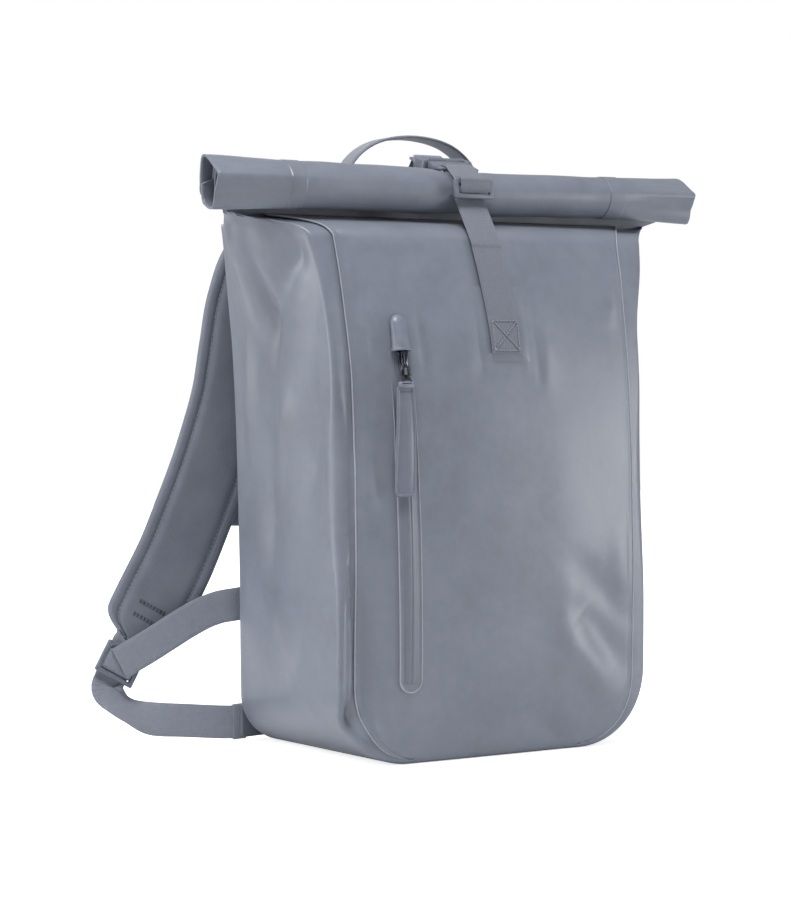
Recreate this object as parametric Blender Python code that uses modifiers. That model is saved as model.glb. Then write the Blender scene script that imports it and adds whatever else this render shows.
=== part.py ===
"""A rolltop backpack in welded coated cloth, in metres with +Z up.

The bag stands on its flat bottom at the origin, its front faces -Y and its back +Y.
The front panel and the back panel are closed in by one gusset band that runs down the left side,
under the bottom and up the right side. Above the shoulders the bag narrows to a flat neck, and the
neck is rolled towards the front.
"""

from math import atan2, cos, pi, sin, sqrt

import bmesh
import bpy
from mathutils import Vector

# The bag's body
BAG_WIDTH = 0.275
BAG_DEPTH = 0.164
SHOULDER_HEIGHT = 0.3885
FRONT_CORNER = 0.061
BACK_CORNER = 0.036
EDGE_RADIUS = 0.014
WALL = 0.002
FLANGE = 0.0155
FRONT_CROWN = 0.013
SIDE_BOW = 0.002
SEAT = 0.0003
PANEL_GAP = 0.0009

# The neck and the roll
NECK_RISE = 0.0173
NECK_GAP = 0.005
NECK_WIDTH = 0.380
NECK_BACK = -0.003
EAR_DROP = 0.0024
ROLL_RADIUS = 0.0197
ROLL_LENGTH = 0.424
ROLL_WALL = 0.0026
ROLL_PITCH = 0.0046
ROLL_TURNS = 2.3

# The zip on the front
ZIP_X = -0.082
ZIP_TOP = 0.330
PATCH_WIDTH = 0.021
PATCH_LENGTH = 0.276
PATCH_RELIEF = 0.0012
TAPE_WIDTH = 0.008
TAPE_WALL = 0.0012
ZIP_SEAT = 0.0008
HOOD_WIDTH = 0.017
HOOD_LENGTH = 0.026
HOOD_RISE = 0.009
SLIDER_WIDTH = 0.010
SLIDER_LENGTH = 0.013
SLIDER_WALL = 0.004
PULLER_LENGTH = 0.016
TAB_WIDTH = 0.0135
TAB_LENGTH = 0.092
TAB_WALL = 0.0026
TAB_SWING = -0.005

# Webbing and its hardware
WEB_WIDTH = 0.026
WEB_WALL = 0.0016
STRAP_X = 0.0045
STRAP_DRIFT = -0.008
SHOULDER_CLEAR = 0.002
STRAP_FOOT = 0.3015
SEWN_LENGTH = 0.026
BUCKLE_LENGTH = 0.052
BUCKLE_WALL = 0.010
GLIDE_LENGTH = 0.015
HARDWARE_WALL = 0.0034
BAR_WALL = 0.0030
HARDWARE_RIM = 0.0036
WEB_PLAY = 0.0006

# The carrying handle
HANDLE_SPAN = 0.150
HANDLE_TOP = 0.4745
HANDLE_Y = 0.050

# The shoulder straps
PAD_WIDTH = 0.064
PAD_WALL = 0.009
PAD_TOP = 0.382
PAD_REACH = 0.215
LOCK_HEIGHT = 0.0637
LOCK_LENGTH = 0.026
LOCK_TILT = 30 * pi / 180
LOWER_HEIGHT = 0.024
TAIL_HEIGHT = 0.110
CHEST_HEIGHT = 0.176
CHEST_WIDTH = 0.020
CLASP_WIDTH = 0.026

HALF_WIDTH = BAG_WIDTH / 2
HALF_DEPTH = BAG_DEPTH / 2
NECK_HEIGHT = SHOULDER_HEIGHT + NECK_RISE
BAR_LOOP = 0.72 * BAR_WALL + WEB_WALL / 2 + 3 * SEAT
ROLL_Y = NECK_BACK - NECK_GAP / 2 - ROLL_RADIUS
ROLL_Z = NECK_HEIGHT + SEAT + ROLL_RADIUS
STRAP_WIDTH_ON_HARDWARE = WEB_WIDTH + 2 * (HARDWARE_RIM + WEB_PLAY)
BUCKLE_WIDTH = STRAP_WIDTH_ON_HARDWARE

# Rows down each straight side of the body and round each of its bottom corners
STRAIGHTS = 14
BENDS = 5

# Body profile: share of the shoulder height, set-back of the front and of the back as shares of
# the depth, and the outward flare of the front and of the back edge as shares of the width
PROFILE = (
    # height, front, back, front_flare, back_flare
    (0.00, 0.000, 0.000, 0.000, 0.004),
    (0.14, 0.000, 0.000, -0.006, 0.008),
    (0.40, 0.000, 0.000, -0.006, 0.012),
    (0.62, 0.025, 0.000, -0.004, 0.020),
    (0.78, 0.060, 0.004, -0.002, 0.032),
    (0.92, 0.125, 0.016, 0.004, 0.050),
    (1.00, 0.180, 0.048, 0.008, 0.066),
)

# Roof from shoulder to neck: share of the way in, share of the rise
ROOF = (
    # inward, upward
    (0.00, 0.00),
    (0.10, 0.30),
    (0.34, 0.62),
    (0.66, 0.84),
    (0.92, 0.93),
    (1.00, 1.00),
)

# Dents of the front: place across as a share of the half width and up as a share of the shoulder
# height, reach of each, its turn in degrees and its depth as a share of the bag's depth
FRONT_DENTS = (
    # across, up, reach_across, reach_up, turn, depth
    (-0.84, 0.50, 0.050, 0.34, 0, 0.020),
    (-0.62, 0.50, 0.060, 0.30, 4, -0.016),
    (-0.90, 0.075, 0.09, 0.045, -30, 0.060),
    (0.72, 0.46, 0.10, 0.07, 35, 0.030),
    (0.62, 0.28, 0.10, 0.13, 35, 0.040),
    (0.40, 0.22, 0.10, 0.14, 40, -0.030),
    (0.30, 0.80, 0.10, 0.10, 10, -0.016),
    (-0.10, 0.06, 0.25, 0.04, 0, 0.025),
)

# Folds of the left and right sides: place from the front as a share of the depth and up as a share
# of the shoulder height, reach of each, its turn in degrees and its depth as a share of the depth
SIDE_DENTS = (
    # along, up, reach_along, reach_up, turn, depth
    (0.18, 0.55, 0.10, 0.055, -25, 0.070),
    (0.45, 0.87, 0.16, 0.05, -55, 0.035),
    (0.80, 0.75, 0.07, 0.16, 14, -0.030),
    (0.42, 0.66, 0.14, 0.10, -20, -0.035),
    (0.62, 0.45, 0.10, 0.14, 20, 0.030),
)


def material(name, colour, roughness, metallic=0.0):
    made = bpy.data.materials.new(name)
    made.use_nodes = True
    shader = made.node_tree.nodes["Principled BSDF"]
    shader.inputs["Base Color"].default_value = (*colour, 1.0)
    shader.inputs["Roughness"].default_value = roughness
    shader.inputs["Metallic"].default_value = metallic
    made.diffuse_color = (*colour, 1.0)
    return made


def coated_cloth():
    return material("coated_cloth", (0.225, 0.245, 0.285), 0.42)


def smooth_moulding():
    return material("smooth_moulding", (0.27, 0.29, 0.33), 0.35)


def dark_metal():
    return material("dark_metal", (0.05, 0.05, 0.055), 0.3, 0.9)


def pull_cloth():
    return material("pull_cloth", (0.14, 0.15, 0.18), 0.5)


def webbing_cloth():
    return material("webbing_cloth", (0.19, 0.20, 0.24), 0.75)


def pad_cloth():
    return material("pad_cloth", (0.12, 0.13, 0.16), 0.8)


def moulded_plastic():
    return material("moulded_plastic", (0.13, 0.145, 0.18), 0.45)


def clear_scene():
    for thing in list(bpy.data.objects):
        bpy.data.objects.remove(thing, do_unlink=True)


def link(thing, collection, paint):
    for holder in list(thing.users_collection):
        holder.objects.unlink(thing)
    collection.objects.link(thing)
    if thing.type == "MESH":
        thing.data.materials.clear()
        thing.data.materials.append(paint)
        thing.data.shade_smooth()
        thing.data.set_sharp_from_angle(angle=pi / 5)
    return thing


def eased(share):
    share = min(max(share, 0.0), 1.0)
    return share * share * (3 - 2 * share)


def read_table(table, at):
    """The columns of a table at this value of its first column, on a smooth curve."""
    if at <= table[0][0]:
        return list(table[0][1:])
    for i in range(len(table) - 1):
        low, high = table[i], table[i + 1]
        if at <= high[0]:
            before = table[max(i - 1, 0)]
            after = table[min(i + 2, len(table) - 1)]
            share = (at - low[0]) / (high[0] - low[0])
            found = []
            for k in range(1, len(low)):
                start = (high[k] - before[k]) / max(high[0] - before[0], 1e-9)
                end = (after[k] - low[k]) / max(after[0] - low[0], 1e-9)
                step = high[0] - low[0]
                a = 2 * share**3 - 3 * share**2 + 1
                b = share**3 - 2 * share**2 + share
                found.append(a * low[k] + b * step * start + (1 - a) * high[k]
                             + (share**3 - share**2) * step * end)
            return found
    return list(table[-1][1:])


def smooth_path(points, count):
    """Points evenly spread in parameter on a smooth curve through the given ones."""
    rows = [(float(i), *p) for i, p in enumerate(points)]
    last = len(points) - 1
    return [Vector(read_table(rows, last * i / (count - 1))) for i in range(count)]


def dent(table, across, up):
    """How deep the table's dents press in at this place."""
    total = 0.0
    for place, height, reach, reach_up, turn, depth in table:
        angle = turn * pi / 180
        dx, dz = across - place, up - height
        along = dx * cos(angle) + dz * sin(angle)
        beside = dz * cos(angle) - dx * sin(angle)
        far = (along / reach) ** 2 + (beside / reach_up) ** 2
        total += depth / (1 + far) ** 2
    return total * BAG_DEPTH


def front_edge_y(height):
    return -HALF_DEPTH + read_table(PROFILE, height / SHOULDER_HEIGHT)[0] * BAG_DEPTH


def back_edge_y(height):
    return HALF_DEPTH - read_table(PROFILE, height / SHOULDER_HEIGHT)[1] * BAG_DEPTH


def front_half(height):
    return HALF_WIDTH + read_table(PROFILE, height / SHOULDER_HEIGHT)[2] * BAG_WIDTH


def back_half(height):
    return HALF_WIDTH + read_table(PROFILE, height / SHOULDER_HEIGHT)[3] * BAG_WIDTH


def front_y(x, height):
    """The outer face of the front at this place, crowned and dented."""
    up = height / SHOULDER_HEIGHT
    across = min(max(x / front_half(height), -1.0), 1.0)
    rounded = sqrt(eased(height / (1.3 * FRONT_CORNER)))
    fade = 1 - 0.35 * eased((up - 0.6) / 0.4)
    crown = FRONT_CROWN * (1 - across**2) * rounded * fade
    pressed = dent(FRONT_DENTS, across, up) * eased((1.0 - abs(across)) / 0.1)
    return front_edge_y(height) - crown + pressed * eased(height / FRONT_CORNER)


def front_normal(x, height):
    """The outward direction of the front at this place."""
    step = 0.002
    slope_x = (front_y(x + step, height) - front_y(x - step, height)) / (2 * step)
    slope_z = (front_y(x, height + step) - front_y(x, height - step)) / (2 * step)
    return Vector((slope_x, -1.0, slope_z)).normalized()


def on_front(x, height, proud):
    base = Vector((x, front_y(x, height), height))
    return base + front_normal(x, height) * proud


def mesh_object(name, vertices, faces):
    data = bpy.data.meshes.new(name)
    data.from_pydata([tuple(v) for v in vertices], [], faces)
    data.update()
    made = bpy.data.objects.new(name, data)
    bpy.context.scene.collection.objects.link(made)
    return made


def sheet(name, rows, wall, collection, paint, offset=-1.0):
    """An open grid of rows, given its thickness by Solidify. Rows run so that its face looks out."""
    count = len(rows[0])
    vertices = [p for row in rows for p in row]
    faces = []
    for i in range(len(rows) - 1):
        for j in range(count - 1):
            a = i * count + j
            faces.append((a, a + 1, a + count + 1, a + count))
    made = mesh_object(name, vertices, faces)
    thick = made.modifiers.new("wall", "SOLIDIFY")
    thick.thickness = wall
    thick.offset = offset
    thick.use_even_offset = True
    thick.thickness_clamp = 1.0
    return link(made, collection, paint)


def box(name, size, centre, bevel, collection, paint):
    bpy.ops.mesh.primitive_cube_add(size=1.0, location=centre)
    made = bpy.context.active_object
    made.name = name
    made.data.name = name
    made.data.transform(((size[0], 0, 0, 0), (0, size[1], 0, 0), (0, 0, size[2], 0), (0, 0, 0, 1)))
    if bevel:
        rounding = made.modifiers.new("edges", "BEVEL")
        rounding.width = bevel
        rounding.segments = 2
    return link(made, collection, paint)


def cut(thing, cutter, cutters):
    cutter.hide_render = True
    cutter.display_type = "WIRE"
    for holder in list(cutter.users_collection):
        holder.objects.unlink(cutter)
    cutters.objects.link(cutter)
    boolean = thing.modifiers.new("cut", "BOOLEAN")
    boolean.operation = "DIFFERENCE"
    boolean.solver = "EXACT"
    boolean.object = cutter


def ribbon(name, centres, sides, width, wall, collection, paint, across=1):
    """A strap: a strip that follows the centres, as wide as given along each side direction."""
    widths = width if isinstance(width, list) else [width] * len(centres)
    rows = []
    for centre, side, full in zip(centres, sides, widths):
        row = [centre + side.normalized() * full * (j / across - 0.5) for j in range(across + 1)]
        rows.append(row)
    return sheet(name, rows, wall, collection, paint, offset=0.0)


def roof_path(edge_y, edge_z, mouth_y):
    """From the shoulder at (edge_y, edge_z) in to the neck's mouth: places and heights."""
    return [(edge_y + (mouth_y - edge_y) * inward, edge_z + NECK_RISE * upward) for inward, upward in ROOF]


def heights_of_panel(corner):
    """Heights of a panel's rows: on the gusset's own stations, closer round the bottom corner."""
    lowest = FLANGE + PANEL_GAP
    bend = [corner - (corner - lowest) * cos(pi / 2 * i / BENDS) for i in range(BENDS + 1)]
    straight = SHOULDER_HEIGHT - corner
    return bend + [corner + straight * i / STRAIGHTS for i in range(1, STRAIGHTS + 1)]


def seam_half(height, half_at, corner):
    """Half the width of a panel inside the gusset's flange at this height."""
    inset = FLANGE + PANEL_GAP
    if height >= corner:
        return half_at(height) - inset
    radius = corner - inset
    drop = corner - height
    return half_at(height) - corner + sqrt(max(radius**2 - drop**2, 0.0))


def make_front_panel(collection, paint):
    columns = 18
    rows = []
    for height in heights_of_panel(FRONT_CORNER):
        half = seam_half(height, front_half, FRONT_CORNER)
        row = []
        for j in range(columns + 1):
            x = half * (2 * j / columns - 1)
            row.append(Vector((x, front_y(x, height), height)))
        rows.append(row)
    shoulder = rows[-1]
    mouth = NECK_BACK - NECK_GAP / 2 - WALL
    roof_half = NECK_WIDTH / 2 - FLANGE - SEAT
    for step in range(1, len(ROOF)):
        row = []
        for point in shoulder:
            y, z = roof_path(point.y, SHOULDER_HEIGHT, mouth)[step]
            share = ROOF[step][0]
            spread = 1 + (roof_half / seam_half(SHOULDER_HEIGHT, front_half, FRONT_CORNER) - 1) * share * 0.55
            row.append(Vector((point.x * spread, y, z)))
        rows.append(row)
    return sheet("front_panel", rows, WALL, collection, paint)


def make_back_panel(collection, paint):
    columns = 10
    rows = []
    for height in heights_of_panel(BACK_CORNER):
        half = seam_half(height, back_half, BACK_CORNER)
        row = []
        for j in range(columns + 1):
            x = half * (1 - 2 * j / columns)
            row.append(Vector((x, back_edge_y(height), height)))
        rows.append(row)
    shoulder = rows[-1]
    mouth = NECK_BACK + NECK_GAP / 2 + WALL
    roof_half = NECK_WIDTH / 2 - FLANGE - SEAT
    for step in range(1, len(ROOF)):
        row = []
        for point in shoulder:
            y, z = roof_path(point.y, SHOULDER_HEIGHT, mouth)[step]
            share = ROOF[step][0]
            spread = 1 + (roof_half / seam_half(SHOULDER_HEIGHT, back_half, BACK_CORNER) - 1) * share * 0.55
            row.append(Vector((point.x * spread, y, z)))
        rows.append(row)
    return sheet("back_panel", rows, WALL, collection, paint)


def station(run, share, corner):
    """A place on the left half of the gusset's path for this corner radius, and the way inward."""
    if run == "side":
        height = SHOULDER_HEIGHT - (SHOULDER_HEIGHT - corner) * share
        return Vector((-HALF_WIDTH, 0, height)), Vector((1, 0, 0))
    if run == "bend":
        outward = Vector((-cos(pi / 2 * share), 0, -sin(pi / 2 * share)))
        return Vector((corner - HALF_WIDTH, 0, corner)) + outward * corner, -outward
    return Vector(((corner - HALF_WIDTH) * (1 - share), 0, 0)), Vector((0, 0, 1))


def gusset_row(run, share):
    """One row across the gusset's left half, from the front flange's edge to the back flange's."""
    front, front_in = station(run, share, FRONT_CORNER)
    back, back_in = station(run, share, BACK_CORNER)
    front_flare = Vector((HALF_WIDTH - front_half(front.z), 0, 0))
    back_flare = Vector((HALF_WIDTH - back_half(back.z), 0, 0))
    if run == "base":
        front_flare *= 1 - share
        back_flare *= 1 - share
    y_back = back_edge_y(back.z)
    row = []
    for depth_in in (FLANGE, EDGE_RADIUS):
        at = front + front_in * depth_in + front_flare
        row.append(Vector((at.x, front_y(at.x, at.z), at.z)))
    start = row[-1].y
    for angle in (pi / 4, pi / 2):
        at = front + front_in * EDGE_RADIUS * (1 - sin(angle)) + front_flare
        row.append(Vector((at.x, start + EDGE_RADIUS * (1 - cos(angle)), at.z)))
    first = row[-1]
    last = back + back_flare
    last.y = y_back - EDGE_RADIUS
    count = 7
    for j in range(1, count):
        along = j / count
        at = first.lerp(last, along)
        height = at.z
        if run == "side":
            hump = 4 * along * (1 - along)
            bow = SIDE_BOW * hump - dent(SIDE_DENTS, along, height / SHOULDER_HEIGHT) * min(1.0, 2 * hump)
            at.x -= bow * eased((1 - share) * 4)
        row.append(at)
    row.append(last)
    for angle in (pi / 4, 0.0):
        at = back + back_in * EDGE_RADIUS * (1 - sin(angle)) + back_flare
        row.append(Vector((at.x, y_back - EDGE_RADIUS * (1 - cos(angle)), at.z)))
    at = back + back_in * FLANGE + back_flare
    row.append(Vector((at.x, y_back, at.z)))
    return row


def make_side_gusset(collection, paint):
    left = [gusset_row("side", i / STRAIGHTS) for i in range(STRAIGHTS + 1)]
    left += [gusset_row("bend", i / BENDS) for i in range(1, BENDS + 1)]
    left += [gusset_row("base", 0.6)]
    right = [[Vector((-p.x, p.y, p.z)) for p in row] for row in reversed(left)]
    rows = left + right
    rows = gusset_roof(rows[0], -1)[::-1] + rows + gusset_roof(rows[-1], 1)
    return sheet("side_gusset", rows, WALL, collection, paint)


def gusset_roof(shoulder, side):
    """Rows from the shoulder up to the neck, where the side closes to a flat ear."""
    front_mouth = NECK_BACK - NECK_GAP / 2 - WALL
    back_mouth = NECK_BACK + NECK_GAP / 2 + WALL
    front_inner = NECK_WIDTH / 2 - FLANGE
    last = len(shoulder) - 1
    seam_front = abs(shoulder[0].x)
    seam_back = abs(shoulder[-1].x)
    spread_front = 1 + ((front_inner - SEAT) / (seam_front - SEAT) - 1) * 0.55
    spread_back = 1 + ((front_inner - SEAT) / (seam_back - SEAT) - 1) * 0.55
    ear = NECK_WIDTH / 2
    goals = []
    for j, point in enumerate(shoulder):
        share = j / last
        turn = pi * share
        inner = seam_front * spread_front * (1 - share) + seam_back * spread_back * share
        x = inner + (ear - inner) * sin(turn)
        middle = (front_mouth + back_mouth) / 2
        y = middle + (front_mouth - middle) * cos(turn)
        goals.append((x, y))
    rows = []
    for step in range(1, len(ROOF)):
        inward, upward = ROOF[step]
        row = []
        for point, (x, y) in zip(shoulder, goals):
            row.append(Vector((
                side * (abs(point.x) + (x - abs(point.x)) * inward),
                point.y + (y - point.y) * inward,
                point.z + NECK_RISE * upward - EAR_DROP * inward,
            )))
        rows.append(row)
    return rows


def spiral_radius(turn):
    """Distance of the cloth's middle from the roll's axis after this many turns."""
    full = ROLL_RADIUS - ROLL_WALL / 2
    return full - ROLL_PITCH * max(0.0, turn - 0.33)


def roll_point(turn, squash_y=1.0, squash_z=1.0):
    """A point of the rolled cloth, in the plane across the roll: it goes up behind and over."""
    angle = 2 * pi * turn
    radius = spiral_radius(turn)
    return (ROLL_Y + radius * cos(angle) * squash_y, ROLL_Z + radius * sin(angle) * squash_z)


# How the roll's section changes along it: place from its left end as a share of the length, then
# the section's depth, height and lift as shares of the roll's radius
ROLL_SECTIONS = (
    # place, depth, height, lift
    (0.00, 0.88, 1.01, 0.00),
    (0.08, 0.94, 0.98, 0.01),
    (0.20, 1.00, 0.94, 0.00),
    (0.40, 1.02, 0.92, -0.03),
    (0.55, 1.02, 0.87, -0.08),
    (0.70, 1.00, 0.88, -0.02),
    (0.86, 0.96, 0.88, 0.03),
    (1.00, 0.90, 0.93, 0.04),
)


def make_rolled_top(collection, paint):
    stations = 10
    steps = 18
    tail = 3
    rows = []
    for i in range(tail):
        share = i / tail
        row = []
        for j in range(stations + 1):
            along = j / stations
            depth, height, lift = read_table(ROLL_SECTIONS, 1 - along)
            reach = NECK_WIDTH + (ROLL_LENGTH - NECK_WIDTH) * eased(share)
            top_y, top_z = roll_point(0.0, depth, height)
            y = NECK_BACK + (top_y - NECK_BACK) * eased(share)
            z = NECK_HEIGHT + SEAT + (top_z - NECK_HEIGHT - SEAT) * share
            row.append(Vector((reach * (0.5 - along), y, z)))
        rows.append(row)
    count = int(steps * ROLL_TURNS)
    for i in range(count + 1):
        turn = ROLL_TURNS * i / count
        row = []
        for j in range(stations + 1):
            along = j / stations
            depth, height, lift = read_table(ROLL_SECTIONS, 1 - along)
            y, z = roll_point(turn, depth, height)
            row.append(Vector((ROLL_LENGTH * (0.5 - along), y, z + lift * ROLL_RADIUS)))
        rows.append(row)
    return sheet("rolled_top", rows, ROLL_WALL, collection, paint, offset=0.0)


def stadium(half_width, half_length, ends):
    """A round-ended outline as (across, along) places."""
    straight = half_length - half_width
    found = []
    for sign in (1, -1):
        for i in range(ends + 1):
            angle = pi * i / ends
            found.append((sign * half_width * cos(angle), sign * (straight + half_width * sin(angle))))
    return found


def ring_on_front(name, centre, half_width, half_length, band, relief, collection, paint):
    """A raised round-ended band that lies on the front round the given centre."""
    outer = stadium(half_width, half_length, 8)
    inner = stadium(half_width - band, half_length - band, 8)
    middle = stadium(half_width - band / 2, half_length - band / 2, 8)
    dense = []
    for ring in (outer, middle, inner):
        dense.append(insert_between(ring, 12))
    rows = []
    for ring in dense:
        rows.append([on_front(centre[0] + x, centre[1] + z, ZIP_SEAT + relief) for x, z in ring])
    count = len(rows[0])
    vertices = [p for row in rows for p in row]
    faces = []
    for i in range(2):
        for j in range(count):
            a, b = i * count + j, i * count + (j + 1) % count
            faces.append((a, b, b + count, a + count))
    made = mesh_object(name, vertices, faces)
    thick = made.modifiers.new("wall", "SOLIDIFY")
    thick.thickness = relief
    thick.offset = -1.0
    return link(made, collection, paint)


def insert_between(ring, parts):
    """The outline with its two long straight runs split up, so that they can follow the cloth."""
    found = []
    for i, here in enumerate(ring):
        there = ring[(i + 1) % len(ring)]
        found.append(here)
        if abs(there[1] - here[1]) > 0.02:
            for k in range(1, parts):
                share = k / parts
                found.append((here[0] + (there[0] - here[0]) * share, here[1] + (there[1] - here[1]) * share))
    return found


def strip_on_front(name, x, low, high, width, wall, proud, collection, paint, across=2, rows_count=14):
    rows = []
    for i in range(rows_count + 1):
        height = low + (high - low) * i / rows_count
        rows.append([
            on_front(x + width * (j / across - 0.5), height, proud + wall) for j in range(across + 1)
        ])
    return sheet(name, rows, wall, collection, paint)


def make_zip(collection, paints):
    cloth, metal, pull, moulding = paints
    low = ZIP_TOP - PATCH_LENGTH
    centre = (ZIP_X, (ZIP_TOP + low) / 2)
    band = (PATCH_WIDTH - TAPE_WIDTH) / 2 - SEAT
    ring_on_front("zip_surround", centre, PATCH_WIDTH / 2, PATCH_LENGTH / 2, band, PATCH_RELIEF, collection, cloth)
    tape_low = low + band + TAPE_WIDTH / 2
    tape_high = ZIP_TOP - band - TAPE_WIDTH / 2
    strip_on_front("zip_tape", centre[0], tape_low, tape_high, TAPE_WIDTH - 8 * SEAT, TAPE_WALL, ZIP_SEAT,
                   collection, cloth)
    make_hood(centre[0], collection, moulding)
    slider_top = ZIP_TOP - HOOD_LENGTH - SEAT
    slider_foot = slider_top - SLIDER_LENGTH
    seat = PATCH_RELIEF + ZIP_SEAT + 2 * SEAT
    strip_on_front("zip_slider", centre[0], slider_foot, slider_top, SLIDER_WIDTH, SLIDER_WALL, seat,
                   collection, metal, rows_count=2)
    puller_foot = slider_foot - SEAT - PULLER_LENGTH
    strip_on_front("zip_puller", centre[0], puller_foot, slider_foot - SEAT, 0.8 * TAB_WIDTH,
                   0.6 * SLIDER_WALL, seat, collection, metal, rows_count=2)
    tab_top = puller_foot - SEAT
    rows = []
    count = 10
    for i in range(count + 1):
        share = i / count
        height = tab_top - TAB_LENGTH * (1 - share)
        width = TAB_WIDTH * (1.0 if share > 0.02 else 0.8)
        proud = seat + SEAT + TAB_WALL
        swing = TAB_SWING * (1 - share)
        rows.append([on_front(centre[0] + swing + width * (j / 2 - 0.5), height, proud) for j in range(3)])
    sheet("pull_tab", rows, TAB_WALL, collection, pull)


def make_hood(x, collection, paint):
    """The moulded hood: an arched shell, closed at its top end and open towards the slider."""
    rows = []
    count = 6
    across = 8
    for i in range(count + 1):
        share = i / count
        height = ZIP_TOP - HOOD_LENGTH * (1 - share)
        rise = HOOD_RISE * (1.0 - 0.82 * share**3)
        half = HOOD_WIDTH / 2 * (1.0 - 0.45 * share**4)
        row = []
        for j in range(across + 1):
            angle = pi * j / across
            place = -half * cos(angle)
            proud = PATCH_RELIEF + 2 * SEAT + rise * sin(angle) ** 0.8 + WALL * 0.6
            row.append(on_front(x + place, height, proud))
        rows.append(row)
    sheet("zip_hood", rows, WALL * 0.6, collection, paint)


def strap_x(height):
    """The strap's middle drifts sideways on its way up to the roll."""
    return STRAP_X + STRAP_DRIFT * eased((height - STRAP_FOOT) / (ROLL_Z - STRAP_FOOT))


def buckle_centre():
    y = ROLL_Y + 0.018
    z = ROLL_Z + ROLL_RADIUS * 1.0 + SEAT + BUCKLE_WALL / 2
    return Vector((STRAP_X + STRAP_DRIFT, y, z))


def make_front_strap(collection, paint):
    """Up the front, over the roll to the buckle's front bar, round it and back down, doubled."""
    on_cloth = WEB_WALL / 2 + 2 * SEAT + PATCH_RELIEF
    lower = []
    for i in range(11):
        height = STRAP_FOOT + (SHOULDER_HEIGHT - SHOULDER_CLEAR - STRAP_FOOT) * i / 10
        place = on_front(strap_x(height), height, on_cloth)
        lower.append((place.y, place.z))
    clear = WEB_WALL / 2 + 2 * SEAT
    wrap = []
    for degrees in (184, 170, 156, 142, 128):
        angle = degrees * pi / 180
        reach = ROLL_RADIUS * 1.02 + clear
        wrap.append((ROLL_Y + reach * cos(angle), ROLL_Z + reach * sin(angle)))
    bar = buckle_centre()
    bar_y = bar.y - BUCKLE_LENGTH / 2 + BAR_WALL / 2
    loop = []
    for degrees in (-110, -80, -40, 0, 40, 80, 115):
        angle = degrees * pi / 180
        loop.append((bar_y + BAR_LOOP * cos(angle), bar.z + BAR_LOOP * sin(angle)))
    back = []
    for degrees in (140, 154, 166):
        angle = degrees * pi / 180
        reach = ROLL_RADIUS * 1.02 + clear + WEB_WALL + 3 * SEAT
        back.append((ROLL_Y + reach * cos(angle), ROLL_Z + reach * sin(angle)))
    centres = [Vector((strap_x(z), y, z)) for y, z in lower + wrap + loop + back]
    sides = [Vector((1, 0, 0))] * len(centres)
    ribbon("front_strap", centres, sides, WEB_WIDTH, WEB_WALL, collection, paint)


def make_strap_patch(collection, paint):
    rows = []
    for i in range(7):
        height = STRAP_FOOT - 0.006 + (SEWN_LENGTH + 0.034) * i / 6
        rows.append([
            on_front(STRAP_X + (WEB_WIDTH + 0.022) * (j / 4 - 0.5), height, SEAT + PATCH_RELIEF)
            for j in range(5)
        ])
    sheet("strap_patch", rows, PATCH_RELIEF, collection, paint)


def make_rear_strap(collection, paint):
    """From the back panel up to the buckle's rear bar and round it."""
    bar = buckle_centre()
    bar_y = bar.y + BUCKLE_LENGTH / 2 - BAR_WALL / 2
    on_cloth = WEB_WALL / 2 + 2 * SEAT
    path = []
    for share in (0.765, 0.84, 0.905, 0.93, 0.955):
        height = share * SHOULDER_HEIGHT
        path.append((back_edge_y(height) + on_cloth, height))
    path += [
        (HALF_DEPTH - 0.006, SHOULDER_HEIGHT + 0.004),
        (0.75 * HALF_DEPTH, SHOULDER_HEIGHT + 0.019),
        (0.52 * HALF_DEPTH, SHOULDER_HEIGHT + 0.037),
    ]
    for degrees in (-40, -75, -110, -145, 180, 145, 110):
        angle = degrees * pi / 180
        path.append((bar_y + BAR_LOOP * cos(angle), bar.z + BAR_LOOP * sin(angle)))
    centres = [Vector((bar.x, y, z)) for y, z in path]
    sides = [Vector((-1, 0, 0))] * len(centres)
    ribbon("rear_strap", centres, sides, WEB_WIDTH, WEB_WALL, collection, paint)


def frame_plate(name, size, slots, centre, tilt, collection, cutters, paint):
    """A bevelled plate in its own X-Y plane with slots across it, then tilted and placed."""
    plate = box(name, size, (0, 0, 0), 0.0008, collection, paint)
    for number, (place, opening) in enumerate(slots):
        cutter = box(f"{name}_slot_{number}", (size[0] - 2 * HARDWARE_RIM, opening, 3 * size[2]),
                     (0, place, 0), 0.0, cutters, paint)
        cutter.parent = plate
        cut(plate, cutter, cutters)
    plate.location = centre
    plate.rotation_euler = tilt
    return plate


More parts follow.
